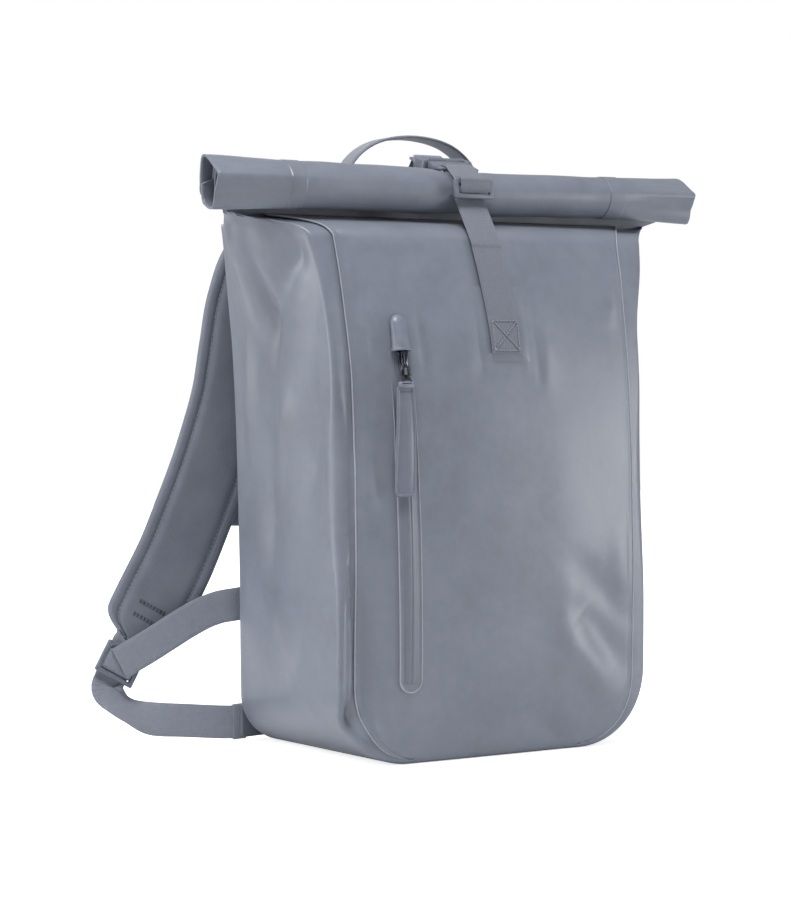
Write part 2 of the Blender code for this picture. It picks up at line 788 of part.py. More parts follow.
def make_buckle(collection, cutters, paint):
    centre = buckle_centre()
    slot = BAR_LOOP + WEB_WALL / 2 - BAR_WALL / 2 + 0.0012
    half = BUCKLE_LENGTH / 2
    insert_length = 0.42 * BUCKLE_LENGTH
    frame_plate(
        "buckle_insert", (BUCKLE_WIDTH + 0.002, insert_length, BAR_WALL + 0.0006),
        [(-insert_length / 2 + BAR_WALL + slot / 2, slot)],
        centre - Vector((0, half - insert_length / 2, 0)), (0, 0, 0), collection, cutters, paint)
    body_length = BUCKLE_LENGTH - insert_length - SEAT
    body = box("buckle_body", (BUCKLE_WIDTH, body_length, BUCKLE_WALL), (0, 0, 0), 0.0022, collection, paint)
    opening = box("buckle_body_slot", (BUCKLE_WIDTH - 2 * HARDWARE_RIM, slot, 3 * BUCKLE_WALL),
                  (0, body_length / 2 - BAR_WALL - slot / 2, 0), 0.0, cutters, paint)
    shelf = box("buckle_body_shelf", (2 * BUCKLE_WIDTH, BAR_WALL * 2, BUCKLE_WALL),
                (0, body_length / 2, BAR_WALL / 2 + 0.0003 + BUCKLE_WALL / 2), 0.0, cutters, paint)
    under = box("buckle_body_under", (2 * BUCKLE_WIDTH, BAR_WALL * 2, BUCKLE_WALL),
                (0, body_length / 2, -BAR_WALL / 2 - 0.0003 - BUCKLE_WALL / 2), 0.0, cutters, paint)
    for cutter in (opening, shelf, under):
        cutter.parent = body
        cut(body, cutter, cutters)
    body.location = centre + Vector((0, half - body_length / 2, 0))


def make_tri_glide(collection, cutters, paint):
    angle = 178 * pi / 180
    reach = ROLL_RADIUS * 1.02 + 2 * WEB_WALL + 6 * SEAT + HARDWARE_WALL / 2
    y = ROLL_Y + reach * cos(angle)
    z = ROLL_Z + reach * sin(angle)
    bar = GLIDE_LENGTH - 2 * HARDWARE_RIM
    slot = bar * 0.32
    frame_plate(
        "tri_glide", (STRAP_WIDTH_ON_HARDWARE, GLIDE_LENGTH, HARDWARE_WALL),
        [(-(bar - slot) / 2, slot), ((bar - slot) / 2, slot)],
        Vector((strap_x(z), y, z)), (pi / 2, 0, 0), collection, cutters, paint)


def make_carry_handle(collection, paint):
    """A webbing arch behind the roll, its feet turned out flat on the roof."""
    half = HANDLE_SPAN / 2
    mouth = NECK_BACK + NECK_GAP / 2 + WALL
    edge = back_edge_y(SHOULDER_HEIGHT)
    roof = roof_path(edge, SHOULDER_HEIGHT, mouth)
    foot = 0.0
    for (y0, z0), (y1, z1) in zip(roof, roof[1:]):
        if y1 <= HANDLE_Y <= y0:
            foot = z0 + (z1 - z0) * (y0 - HANDLE_Y) / (y0 - y1)
    foot += WEB_WALL + 4 * SEAT
    rise = HANDLE_TOP - WEB_WALL / 2 - foot
    arch = (
        # out, up
        (1.26, 0.00), (1.12, 0.00), (1.01, 0.07), (0.95, 0.25), (0.86, 0.50), (0.68, 0.77),
        (0.40, 0.94), (0.00, 1.00),
    )
    shape = [(-out, up) for out, up in arch] + [(out, up) for out, up in reversed(arch[:-1])]
    points = [(half * out, HANDLE_Y - 0.004 * up, foot + rise * up) for out, up in shape]
    centres = smooth_path(points, 41)
    sides = []
    for i, centre in enumerate(centres):
        flat = 1 - eased((centre.z - foot) / 0.03)
        sides.append(Vector((0, 1, -0.36 * flat)))
    ribbon("carry_handle", centres, sides, WEB_WIDTH * 0.85, WEB_WALL * 1.3, collection, paint)


# The shoulder pad's middle line from its top end down, and its width
PAD_ROUTE = (
    # out (of PAD_REACH), back (of BAG_DEPTH), up (of PAD_TOP), width (of PAD_WIDTH)
    (0.279, 0.540, 0.974, 1.00),
    (0.395, 0.543, 1.000, 1.00),
    (0.505, 0.579, 0.976, 1.00),
    (0.549, 0.628, 0.898, 1.00),
    (0.566, 0.671, 0.805, 1.00),
    (0.584, 0.701, 0.711, 1.00),
    (0.620, 0.720, 0.628, 1.00),
    (0.670, 0.726, 0.546, 1.00),
    (0.733, 0.720, 0.463, 1.00),
    (0.811, 0.707, 0.372, 1.00),
    (0.901, 0.683, 0.283, 0.96),
    (0.986, 0.659, 0.222, 0.72),
)

PAD_FACE = Vector((0.26, -0.966, 0.0))


def mirrored(points, side):
    return [Vector((side * p.x, p.y, p.z)) for p in points]


def crosswise(centres, face):
    """Side directions that keep a strip's face turned one way."""
    found = []
    for i in range(len(centres)):
        ahead = centres[min(i + 1, len(centres) - 1)] - centres[max(i - 1, 0)]
        found.append(face.cross(ahead).normalized())
    return found


def make_shoulder_pad(side, name, collection, paint):
    points = [(-out * PAD_REACH, back * BAG_DEPTH, up * PAD_TOP, width * PAD_WIDTH)
              for out, back, up, width in PAD_ROUTE]
    dense = smooth_path(points, 17)
    centres = mirrored([Vector((p[0], p[1], p[2])) for p in dense], -side)
    widths = [p[3] for p in dense]
    face = Vector((side * PAD_FACE.x, PAD_FACE.y, 0))
    sides = crosswise(centres, face)
    pad = ribbon(name, centres, sides, widths, PAD_WALL, collection, paint, across=2)
    rounding = pad.modifiers.new("rounded_edge", "BEVEL")
    rounding.width = PAD_WALL * 0.28
    rounding.segments = 1
    rounding.limit_method = "ANGLE"
    rounding.angle_limit = pi / 3
    return pad


def face_of(side):
    return Vector((side * PAD_FACE.x, PAD_FACE.y, 0))


def lock_centre(side):
    return Vector((side * 1.061 * PAD_REACH, 0.622 * BAG_DEPTH, LOCK_HEIGHT))


def lock_reach(side):
    """From the lock's middle to the middle of its upper edge."""
    half = LOCK_LENGTH / 2
    return Vector((-side * half * sin(LOCK_TILT), 0, half * cos(LOCK_TILT)))


def square_to_lock(sides, side, count):
    """The last side directions turned to lie along the lock's edge."""
    edge = Vector((cos(LOCK_TILT), 0, side * sin(LOCK_TILT)))
    for i in range(1, count + 1):
        sides[-i] = edge if sides[-i].dot(edge) > 0 else -edge


def make_ladder_lock(side, name, collection, cutters, paint):
    inner = LOCK_LENGTH - 2 * HARDWARE_RIM
    slot = inner * 0.3
    plate = frame_plate(
        name, (STRAP_WIDTH_ON_HARDWARE, LOCK_LENGTH, HARDWARE_WALL),
        [(-(inner - slot) / 2, slot), ((inner - slot) / 2, slot)],
        lock_centre(side), (pi / 2, -side * LOCK_TILT, 0), collection, cutters, paint)
    return plate


def make_pad_loop(side, name, collection, paint):
    """The short webbing from the pad's lower end to the ladder lock."""
    out, back, up, _ = PAD_ROUTE[-1]
    pad_end = Vector((side * out * PAD_REACH, back * BAG_DEPTH, up * PAD_TOP))
    before = PAD_ROUTE[-2]
    earlier = Vector((side * before[0] * PAD_REACH, before[1] * BAG_DEPTH, before[2] * PAD_TOP))
    away = Vector((0, -(PAD_WALL / 2 + WEB_WALL / 2 + 3 * SEAT), 0))
    lock = lock_centre(side)
    along = lock_reach(side).normalized()
    foot = lock + lock_reach(side) + along * 2 * SEAT
    start = pad_end.lerp(earlier, 0.55) + away
    bridge = pad_end + away
    points = [start, bridge, foot + along * 0.4 * WEB_WIDTH * 0.6, foot]
    centres = smooth_path([tuple(p) for p in points], 9)
    sides = crosswise(centres, face_of(side) * side * -1)
    square_to_lock(sides, side, 2)
    ribbon(name, centres, sides, WEB_WIDTH * 0.96, WEB_WALL, collection, paint)


# The lower strap's middle line from the corner tab out and up to the ladder lock
LOWER_ROUTE = (
    # out (of HALF_WIDTH), back (of HALF_DEPTH), up (of LOWER_HEIGHT)
    (0.730, 1.042, 0.640),
    (0.960, 1.042, 0.600),
    (1.060, 1.052, 0.600),
    (1.281, 1.110, 0.717),
    (1.493, 1.171, 0.850),
    (1.625, 1.201, 1.170),
    (1.700, 1.225, 1.560),
)

# The webbing's free tail from the ladder lock in behind the bag
TAIL_ROUTE = (
    # out (of PAD_REACH), back (of HALF_DEPTH), up (of TAIL_HEIGHT)
    (1.070, 1.200, 0.582),
    (0.953, 1.177, 0.699),
    (0.805, 1.134, 0.862),
    (0.713, 1.098, 0.940),
    (0.620, 1.064, 0.969),
    (0.400, 1.048, 1.009),
)


def make_lower_strap(side, name, collection, paint):
    points = [(side * out * HALF_WIDTH, back * HALF_DEPTH, up * LOWER_HEIGHT)
              for out, back, up in LOWER_ROUTE]
    along = lock_reach(side).normalized()
    foot = lock_centre(side) - lock_reach(side) - along * 2 * SEAT
    points += [tuple(foot - along * 0.3 * WEB_WIDTH), tuple(foot)]
    centres = smooth_path(points, 25)
    sides = crosswise(centres, face_of(side) * side * -1)
    square_to_lock(sides, side, 2)
    ribbon(name, centres, sides, WEB_WIDTH, WEB_WALL, collection, paint)


def make_strap_tail(side, name, collection, paint):
    points = [(side * out * PAD_REACH, back * HALF_DEPTH, up * TAIL_HEIGHT)
              for out, back, up in TAIL_ROUTE]
    centres = smooth_path(points, 17)
    sides = crosswise(centres, Vector((0.1 * side, -1.0, 0)) * side)
    ribbon(name, centres, sides, WEB_WIDTH, WEB_WALL, collection, paint)


def make_anchor_tab(side, name, collection, paint):
    """A sewn triangular tab on the lower back corner, under the lower strap's end."""
    low = 0.07 * BACK_CORNER
    tip = LOWER_HEIGHT * 0.60 + WEB_WIDTH * 0.5
    inner = HALF_WIDTH - 1.4 * BACK_CORNER
    outer = HALF_WIDTH - 0.1 * BACK_CORNER
    corners = [(outer, LOWER_HEIGHT * 0.60 - WEB_WIDTH * 0.45), (outer, tip), (inner, tip + 0.6 * WEB_WIDTH),
               (inner, low + LOWER_HEIGHT * 0.1)]
    y = HALF_DEPTH + SEAT
    wall = WEB_WALL
    vertices = []
    for depth in (y, y + wall):
        vertices += [Vector((side * x, depth, z)) for x, z in corners]
    faces = [(0, 1, 2, 3), (7, 6, 5, 4)]
    for i in range(4):
        j = (i + 1) % 4
        faces.append((j, i, i + 4, j + 4))
    made = mesh_object(name, vertices, faces)
    tidy = bmesh.new()
    tidy.from_mesh(made.data)
    bmesh.ops.recalc_face_normals(tidy, faces=tidy.faces)
    tidy.to_mesh(made.data)
    tidy.free()
    return link(made, collection, paint)


def make_chest_strap(collection, webbing, plastic):
    inner = CLASP_WIDTH / 2 + 2 * SEAT
    outer = 0.66 * PAD_REACH
    pad_back = 0.720 * BAG_DEPTH + 0.24 * PAD_WALL
    y = pad_back + WEB_WALL / 2 + 3 * SEAT
    for side, name in ((-1, "chest_strap_left"), (1, "chest_strap_right")):
        points = [(side * outer, y, CHEST_HEIGHT), (side * 0.5 * (outer + inner), y - SEAT, CHEST_HEIGHT - 0.002),
                  (side * inner, y, CHEST_HEIGHT - 0.003)]
        centres = smooth_path(points, 9)
        sides = [Vector((0, 0, side))] * len(centres)
        ribbon(name, centres, sides, CHEST_WIDTH, WEB_WALL, collection, webbing)
    box("chest_clasp", (CLASP_WIDTH, 3.4 * WEB_WALL, CHEST_WIDTH * 1.2), (0, y, CHEST_HEIGHT - 0.003), 0.0015,
        collection, plastic)


def main():
    clear_scene()
    parts = bpy.data.collections.new("rolltop_backpack")
    cutters = bpy.data.collections.new("cutters")
    bpy.context.scene.collection.children.link(parts)
    bpy.context.scene.collection.children.link(cutters)
    cloth = coated_cloth()
    webbing = webbing_cloth()
    plastic = moulded_plastic()
    padding = pad_cloth()
    make_front_panel(parts, cloth)
    make_side_gusset(parts, cloth)
    make_back_panel(parts, cloth)
    make_rolled_top(parts, cloth)
    make_zip(parts, (cloth, dark_metal(), pull_cloth(), smooth_moulding()))
    make_strap_patch(parts, cloth)
    make_front_strap(parts, webbing)
    make_rear_strap(parts, webbing)
    make_buckle(parts, cutters, plastic)
    make_tri_glide(parts, cutters, plastic)
    make_carry_handle(parts, webbing)
    for side, word in ((-1, "left"), (1, "right")):
        make_shoulder_pad(side, f"shoulder_pad_{word}", parts, padding)
        make_ladder_lock(side, f"ladder_lock_{word}", parts, cutters, plastic)
        make_pad_loop(side, f"pad_loop_{word}", parts, webbing)
        make_lower_strap(side, f"lower_strap_{word}", parts, webbing)
        make_strap_tail(side, f"strap_tail_{word}", parts, webbing)
        make_anchor_tab(side, f"anchor_tab_{word}", parts, cloth)
    make_chest_strap(parts, webbing, plastic)


main()
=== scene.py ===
from math import cos, exp, hypot, pi, sin, sqrt

import bmesh
import bpy
from mathutils import Matrix, Vector, noise


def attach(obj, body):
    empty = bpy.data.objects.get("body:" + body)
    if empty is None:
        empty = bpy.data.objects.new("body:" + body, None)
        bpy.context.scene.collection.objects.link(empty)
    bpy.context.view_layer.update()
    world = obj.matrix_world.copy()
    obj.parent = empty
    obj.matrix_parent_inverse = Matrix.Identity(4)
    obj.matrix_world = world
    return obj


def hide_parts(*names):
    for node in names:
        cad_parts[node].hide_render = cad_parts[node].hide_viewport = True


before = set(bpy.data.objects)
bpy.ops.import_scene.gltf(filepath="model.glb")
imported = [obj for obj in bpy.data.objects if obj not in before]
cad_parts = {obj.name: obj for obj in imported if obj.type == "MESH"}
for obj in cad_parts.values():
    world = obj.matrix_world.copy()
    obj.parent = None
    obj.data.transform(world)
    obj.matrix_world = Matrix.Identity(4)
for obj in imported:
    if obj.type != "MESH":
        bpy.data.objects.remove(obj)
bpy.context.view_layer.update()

# The bag's own sizes, in metres, the same as those that the solids were made from
BAG_WIDTH = 0.275
BAG_DEPTH = 0.164
SHOULDER_HEIGHT = 0.3885
FRONT_CORNER = 0.061
BACK_CORNER = 0.036
FLANGE = 0.0155
FRONT_CROWN = 0.013
SIDE_BOW = 0.002
NECK_RISE = 0.0173
NECK_GAP = 0.005
NECK_WIDTH = 0.380
NECK_BACK = -0.003
ROLL_RADIUS = 0.0197
ROLL_LENGTH = 0.424
HALF_WIDTH = BAG_WIDTH / 2
HALF_DEPTH = BAG_DEPTH / 2
NECK_HEIGHT = SHOULDER_HEIGHT + NECK_RISE
ROLL_Y = NECK_BACK - NECK_GAP / 2 - ROLL_RADIUS
ROLL_Z = NECK_HEIGHT + 0.0003 + ROLL_RADIUS

CLOTH_WALL = 0.0011
ZIP_X = -0.082
ZIP_TOP = 0.330
ZIP_FOOT = 0.054
WEB_WIDTH = 0.026
WEB_WALL = 0.0016
STRAP_X = 0.0045
STRAP_DRIFT = -0.008
STRAP_FOOT = 0.3015
PAD_WIDTH = 0.064
PAD_TOP = 0.382
PAD_REACH = 0.215
LOCK_HEIGHT = 0.0637
LOCK_LENGTH = 0.026
LOCK_TILT = 30 * pi / 180
LOWER_HEIGHT = 0.024
TAIL_HEIGHT = 0.110
CHEST_HEIGHT = 0.176

PROFILE = (
    # height, front, back, front_flare, back_flare
    (0.00, 0.000, 0.000, 0.000, 0.004),
    (0.14, 0.000, 0.000, -0.006, 0.008),
    (0.40, 0.000, 0.000, -0.006, 0.012),
    (0.62, 0.025, 0.000, -0.004, 0.020),
    (0.78, 0.060, 0.004, -0.002, 0.032),
    (0.92, 0.125, 0.016, 0.004, 0.050),
    (1.00, 0.180, 0.048, 0.008, 0.066),
)

FRONT_DENTS = (
    # across, up, reach_across, reach_up, turn, depth
    (-0.92, 0.42, 0.070, 0.40, 0, 0.034),
    (-0.62, 0.46, 0.060, 0.36, 4, -0.018),
    (-0.86, 0.20, 0.090, 0.17, 2, 0.034),
    (-0.90, 0.075, 0.09, 0.045, -30, 0.060),
    (0.42, 0.26, 0.24, 0.20, 10, -0.014),
    (0.30, 0.80, 0.10, 0.10, 10, -0.016),
    (-0.10, 0.06, 0.25, 0.04, 0, 0.025),
)

SIDE_DENTS = (
    # along, up, reach_along, reach_up, turn, depth
    (0.18, 0.55, 0.17, 0.100, -25, 0.030),
    (0.45, 0.87, 0.16, 0.05, -55, 0.035),
    (0.80, 0.75, 0.07, 0.16, 14, -0.030),
    (0.42, 0.66, 0.14, 0.10, -20, -0.035),
    (0.62, 0.45, 0.10, 0.14, 20, 0.030),
)

# Ridges and creases of the front: both ends as places across and up, reach to each side, and how
# far the cloth stands out
FRONT_FOLDS = (
    # x0, z0, x1, z1, reach, out
    (-0.1108, 0.333, -0.1106, 0.293, 0.0032, 0.0013),
    (-0.1075, 0.328, -0.1020, 0.338, 0.0020, 0.0007),
    (-0.0665, 0.332, -0.0640, 0.288, 0.0030, -0.0012),
    (-0.0600, 0.335, -0.0580, 0.282, 0.0055, 0.0004),
    (-0.1190, 0.226, -0.1130, 0.188, 0.0070, 0.0018),
    (-0.1080, 0.232, -0.1010, 0.190, 0.0050, -0.0010),
    (-0.0277, 0.346, -0.0276, 0.278, 0.0055, 0.0008),
    (-0.0171, 0.330, -0.0165, 0.288, 0.0028, -0.0008),
    (0.0225, 0.333, 0.0230, 0.290, 0.0035, 0.0007),
    (0.0325, 0.344, 0.0345, 0.282, 0.0034, -0.0011),
    (0.1180, 0.372, 0.1090, 0.330, 0.0070, 0.0022),
    (0.1215, 0.380, 0.1170, 0.348, 0.0028, -0.0010),
    (0.0640, 0.142, 0.1080, 0.103, 0.0130, -0.0024),
    (0.1060, 0.160, 0.1120, 0.115, 0.0110, 0.0014),
    (0.0700, 0.108, 0.1080, 0.064, 0.0130, -0.0026),
    (0.0550, 0.090, 0.1000, 0.040, 0.0140, 0.0024),
    (0.0250, 0.030, 0.0570, 0.012, 0.0090, -0.0018),
    (-0.1290, 0.044, -0.1190, 0.026, 0.0050, -0.0055),
    (-0.1200, 0.038, -0.1060, 0.022, 0.0070, 0.0030),
    (-0.1235, 0.372, -0.1215, 0.300, 0.0060, -0.0014),
    (-0.1100, 0.384, -0.0400, 0.383, 0.0060, 0.0012),
    (0.0400, 0.383, 0.1050, 0.384, 0.0060, 0.0012),
)

# Folds of the side: both ends as places back from the middle and up, reach and how far it stands out
SIDE_FOLDS = (
    # y0, z0, y1, z1, reach, out
    (-0.0500, 0.232, -0.0640, 0.204, 0.0140, -0.0026),
    (-0.0560, 0.389, -0.0250, 0.350, 0.0100, -0.0045),
    (-0.0250, 0.350, 0.0080, 0.316, 0.0130, -0.0035),
    (-0.0450, 0.350, -0.0250, 0.290, 0.0140, 0.0030),
    (0.0900, 0.378, 0.0640, 0.322, 0.0060, -0.0030),
    (0.0700, 0.372, 0.0600, 0.300, 0.0070, 0.0022),
    (0.0080, 0.386, 0.0200, 0.330, 0.0100, 0.0022),
    (0.0450, 0.130, 0.0150, 0.080, 0.0160, -0.0030),
    (-0.0500, 0.110, -0.0200, 0.060, 0.0140, 0.0026),
)

PAD_ROUTE = (
    # out (of PAD_REACH), back (of BAG_DEPTH), up (of PAD_TOP), width (of PAD_WIDTH)
    (0.279, 0.540, 0.974, 1.00),
    (0.395, 0.543, 1.000, 1.00),
    (0.505, 0.579, 0.976, 1.00),
    (0.549, 0.628, 0.898, 1.00),
    (0.566, 0.671, 0.805, 1.00),
    (0.584, 0.701, 0.711, 1.00),
    (0.620, 0.720, 0.628, 1.00),
    (0.670, 0.726, 0.546, 1.00),
    (0.733, 0.720, 0.463, 1.00),
    (0.811, 0.707, 0.372, 1.00),
    (0.905, 0.690, 0.283, 1.00),
    (0.970, 0.671, 0.226, 0.96),
    (1.000, 0.662, 0.203, 0.84),
)

LOWER_ROUTE = (
    # out (of HALF_WIDTH), back (of HALF_DEPTH), up (of LOWER_HEIGHT)
    (0.730, 1.042, 0.640),
    (0.960, 1.042, 0.600),
    (1.060, 1.052, 0.600),
    (1.281, 1.110, 0.717),
    (1.493, 1.171, 0.850),
    (1.625, 1.201, 1.170),
    (1.700, 1.225, 1.560),
)

TAIL_ROUTE = (
    # out (of PAD_REACH), back (of HALF_DEPTH), up (of TAIL_HEIGHT)
    (1.070, 1.200, 0.582),
    (0.953, 1.177, 0.699),
    (0.805, 1.134, 0.862),
    (0.713, 1.098, 0.940),
    (0.620, 1.064, 0.969),
    (0.400, 1.048, 1.009),
)

ROLL_SECTIONS = (
    # place, depth, height, lift
    (0.00, 0.88, 1.01, 0.00),
    (0.08, 0.94, 0.98, 0.01),
    (0.20, 1.00, 0.94, 0.00),
    (0.40, 1.02, 0.92, -0.03),
    (0.55, 1.02, 0.87, -0.08),
    (0.70, 1.00, 0.88, -0.02),
    (0.86, 0.96, 0.88, 0.03),
    (1.00, 0.90, 0.93, 0.04),
)


# Plain helpers for tables, curves and the body's faces

def eased(share):
    share = min(max(share, 0.0), 1.0)
    return share * share * (3 - 2 * share)


def read_table(table, at):
    """The columns of a table at this value of its first column, on a smooth curve."""
    if at <= table[0][0]:
        return list(table[0][1:])
    for i in range(len(table) - 1):
        low, high = table[i], table[i + 1]
        if at <= high[0]:
            before = table[max(i - 1, 0)]
            after = table[min(i + 2, len(table) - 1)]
            share = (at - low[0]) / (high[0] - low[0])
            step = high[0] - low[0]
            a = 2 * share**3 - 3 * share**2 + 1
            b = (share**3 - 2 * share**2 + share) * step / max(high[0] - before[0], 1e-9)
            c = (share**3 - share**2) * step / max(after[0] - low[0], 1e-9)
            return [a * low[k] + b * (high[k] - before[k]) + (1 - a) * high[k] + c * (after[k] - low[k])
                    for k in range(1, len(low))]
    return list(table[-1][1:])


def smooth_path(points, count):
    rows = [(float(i), *p) for i, p in enumerate(points)]
    last = len(points) - 1
    return [Vector(read_table(rows, last * i / (count - 1))) for i in range(count)]


def lengths_along(points):
    """How far each point lies from the first, along the line through them all."""
    far = [0.0]
    for a, b in zip(points, points[1:]):
        far.append(far[-1] + (b - a).length)
    return far


def stretch_at(far, goal, k):
    """The stretch that holds this distance, looked for from the k-th on, and the share along it."""
    while k < len(far) - 2 and far[k + 1] < goal:
        k += 1
    return k, (goal - far[k]) / max(far[k + 1] - far[k], 1e-9)


def even_path(points, count):
    """The same curve with its points evenly spread along its length."""
    fine = smooth_path(points, 400)
    far = lengths_along(fine)
    found, k = [], 0
    for i in range(count):
        k, share = stretch_at(far, far[-1] * i / (count - 1), k)
        found.append(fine[k].lerp(fine[k + 1], min(max(share, 0), 1)))
    return found


def grid(steps, columns, point):
    """Rows of points; point gives the place for a share down the piece and a share across it."""
    return [[point(i / steps, j / columns) for j in range(columns + 1)] for i in range(steps + 1)]


def dent(table, across, up):
    total = 0.0
    for place, height, reach, reach_up, turn, depth in table:
        angle = turn * pi / 180
        dx, dz = across - place, up - height
        along = dx * cos(angle) + dz * sin(angle)
        beside = dz * cos(angle) - dx * sin(angle)
        total += depth / (1 + (along / reach) ** 2 + (beside / reach_up) ** 2) ** 2
    return total * BAG_DEPTH


def folds(table, a, b):
    """How far the table's ridges and creases push the cloth out at this place."""
    total = 0.0
    for a0, b0, a1, b1, reach, out in table:
        run_a, run_b = a1 - a0, b1 - b0
        length = run_a * run_a + run_b * run_b
        share = ((a - a0) * run_a + (b - b0) * run_b) / length
        near = min(max(share, 0.0), 1.0)
        off_a, off_b = a - a0 - run_a * near, b - b0 - run_b * near
        far = (off_a * off_a + off_b * off_b) / (reach * reach)
        if far < 9:
            total += out * exp(-far) * (0.35 + 0.65 * sin(pi * min(max(near, 0.02), 0.98)) ** 0.6)
    return total


def ripple(x, y, z, size, depth):
    """A gentle unevenness of the cloth, the same on every run."""
    return depth * noise.noise(Vector((x / size, y / size, z / size)))


def profile(height):
    return read_table(PROFILE, height / SHOULDER_HEIGHT)


def front_edge_y(height):
    return -HALF_DEPTH + profile(height)[0] * BAG_DEPTH


def back_edge_y(height):
    return HALF_DEPTH - profile(height)[1] * BAG_DEPTH


def front_half(height):
    return HALF_WIDTH + profile(height)[2] * BAG_WIDTH


def back_half(height):
    return HALF_WIDTH + profile(height)[3] * BAG_WIDTH


def front_y(x, height):
    up = height / SHOULDER_HEIGHT
    across = min(max(x / front_half(height), -1.0), 1.0)
    rounded = sqrt(eased(height / (1.3 * FRONT_CORNER)))
    fade = 1 - 0.35 * eased((up - 0.6) / 0.4)
    crown = FRONT_CROWN * (1 - across**2) * rounded * fade
    pressed = dent(FRONT_DENTS, across, up) * eased((1.0 - abs(across)) / 0.1)
    settled = folds(FRONT_FOLDS, x, height) + ripple(x, 0.3, height, 0.045, 0.0006)
    calm = eased((1.0 - abs(across)) / 0.06)
    return front_edge_y(height) - crown + pressed * eased(height / FRONT_CORNER) - settled * calm


def front_normal(x, height):
    step = 0.002
    slope_x = (front_y(x + step, height) - front_y(x - step, height)) / (2 * step)
    slope_z = (front_y(x, height + step) - front_y(x, height - step)) / (2 * step)
    return Vector((slope_x, -1.0, slope_z)).normalized()


def on_front(x, height, proud):
    return Vector((x, front_y(x, height), height)) + front_normal(x, height) * proud


def lifted(point):
    """The side widens upwards to the roll's ears, and its top rises towards the back."""
    rise = 0.0125 * eased((point.z - 0.325) / 0.06) * eased((point.y + 0.045) / 0.10)
    calm = 1 - eased((point.z - SHOULDER_HEIGHT) / NECK_RISE)
    flare = 0.030 * eased((point.z - 0.285) / 0.105) ** 1.6 * exp(-((point.y - 0.004) / 0.042) ** 2)
    beside = eased((abs(point.x) - 0.122) / 0.012)
    side = 1 if point.x > 0 else -1
    if side == 1:
        flare += 0.0062 * eased((point.z - 0.315) / 0.062)
    return Vector((point.x + side * flare * beside * calm, point.y, point.z + rise * calm))


# Meshes

HARD_EDGE = pi / 5
STITCH_LENGTH = 0.0026
THREAD = 0.00042
STITCH_SHAPE = ((-0.5, 0.25), (-0.36, 0.85), (0.0, 1.0), (0.36, 0.85), (0.5, 0.25))


def new_piece(name, points, faces, maps=None):
    data = bpy.data.meshes.new(name)
    data.from_pydata([tuple(p) for p in points], [], faces)
    data.update()
    if maps:
        layer = data.uv_layers.new(name="cloth_metres")
        for loop in data.loops:
            layer.data[loop.index].uv = maps[loop.vertex_index]
    piece = bpy.data.objects.new(name, data)
    bpy.context.scene.collection.objects.link(piece)
    data.shade_smooth()
    return piece


def apply_all(piece):
    bpy.ops.object.select_all(action="DESELECT")
    bpy.context.view_layer.objects.active = piece
    piece.select_set(True)
    for modifier in list(piece.modifiers):
        bpy.ops.object.modifier_apply(modifier=modifier.name)
    piece.select_set(False)


def dress(piece, paint, slot, *nodes, sharp=None):
    piece.data.materials.clear()
    piece.data.materials.append(paint)
    if sharp is not None:
        piece.data.shade_smooth()
        piece.data.set_sharp_from_angle(angle=sharp)
    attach(piece, "root")
    if nodes:
        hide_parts(*nodes)
    return piece


def measured_maps(rows):
    """Places on the cloth in metres, along and across each row."""
    across = lengths_along(rows[len(rows) // 2])
    down = lengths_along([row[len(row) // 2] for row in rows])
    return [(a, d) for d in down for a in across]


def cloth(name, rows, wall, offset=-1.0):
    """A sheet of cloth from rows of points that run so that its face looks out."""
    count = len(rows[0])
    faces = [(a, a + 1, a + count + 1, a + count)
             for i in range(len(rows) - 1) for a in range(i * count, (i + 1) * count - 1)]
    piece = new_piece(name, [p for row in rows for p in row], faces, measured_maps(rows))
    thick = piece.modifiers.new("wall", "SOLIDIFY")
    thick.thickness = wall
    thick.offset = offset
    apply_all(piece)
    return piece


def sheet_area(rows):
    total = 0.0
    for above, below in zip(rows, rows[1:]):
        for a, b, c, d in zip(above, above[1:], below, below[1:]):
            total += ((b - a).cross(c - a).length + (b - d).cross(c - d).length) / 2
    return total


def sheet_piece(name, node, rows, wall, paint, slot, offset=-1.0, sharp=None):
    """A dressed cloth; its cut's flat area and mean row length are worked out but not used."""
    piece = dress(cloth(name, rows, wall, offset), paint, slot, node, sharp=sharp)
    area = sheet_area(rows)
    long = sum(lengths_along(row)[-1] for row in rows) / len(rows)


def step_ahead(centres, i):
    return centres[min(i + 1, len(centres) - 1)] - centres[max(i - 1, 0)]


def crosswise(centres, face):
    return [face.cross(step_ahead(centres, i)).normalized() for i in range(len(centres))]


def ahead_and_out(centres, sides, i):
    ahead = step_ahead(centres, i).normalized()
    return ahead, sides[i].cross(ahead).normalized()


def tube_faces(start, rings, count):
    """The faces of a closed tube, count points to a ring, from the point numbered start."""
    last = start + (rings - 1) * count
    faces = [(a + n, a + (n + 1) % count, a + (n + 1) % count + count, a + n + count)
             for a in range(start, last, count) for n in range(count)]
    return faces + [tuple(range(start + count - 1, start - 1, -1)), tuple(range(last, last + count))]


def band(name, centres, sides, widths, section):
    """A strip swept along the centres. The section is a closed outline of (across, out) places,
    across as a share of the width and out in metres."""
    points, maps = [], []
    for i, far in enumerate(lengths_along(centres)):
        side = sides[i].normalized()
        out = side.cross(step_ahead(centres, i).normalized()).normalized()
        width = widths[i] if isinstance(widths, list) else widths
        points += [centres[i] + side * across * width + out * rise for across, rise in section]
        maps += [(across * width, far) for across, _ in section]
    piece = new_piece(name, points, tube_faces(0, len(centres), len(section)), maps)
    outward = bmesh.new()
    outward.from_mesh(piece.data)
    bmesh.ops.recalc_face_normals(outward, faces=outward.faces)
    outward.to_mesh(piece.data)
    outward.free()
    piece.data.shade_smooth()
    piece.data.set_sharp_from_angle(angle=pi / 3)
    return piece


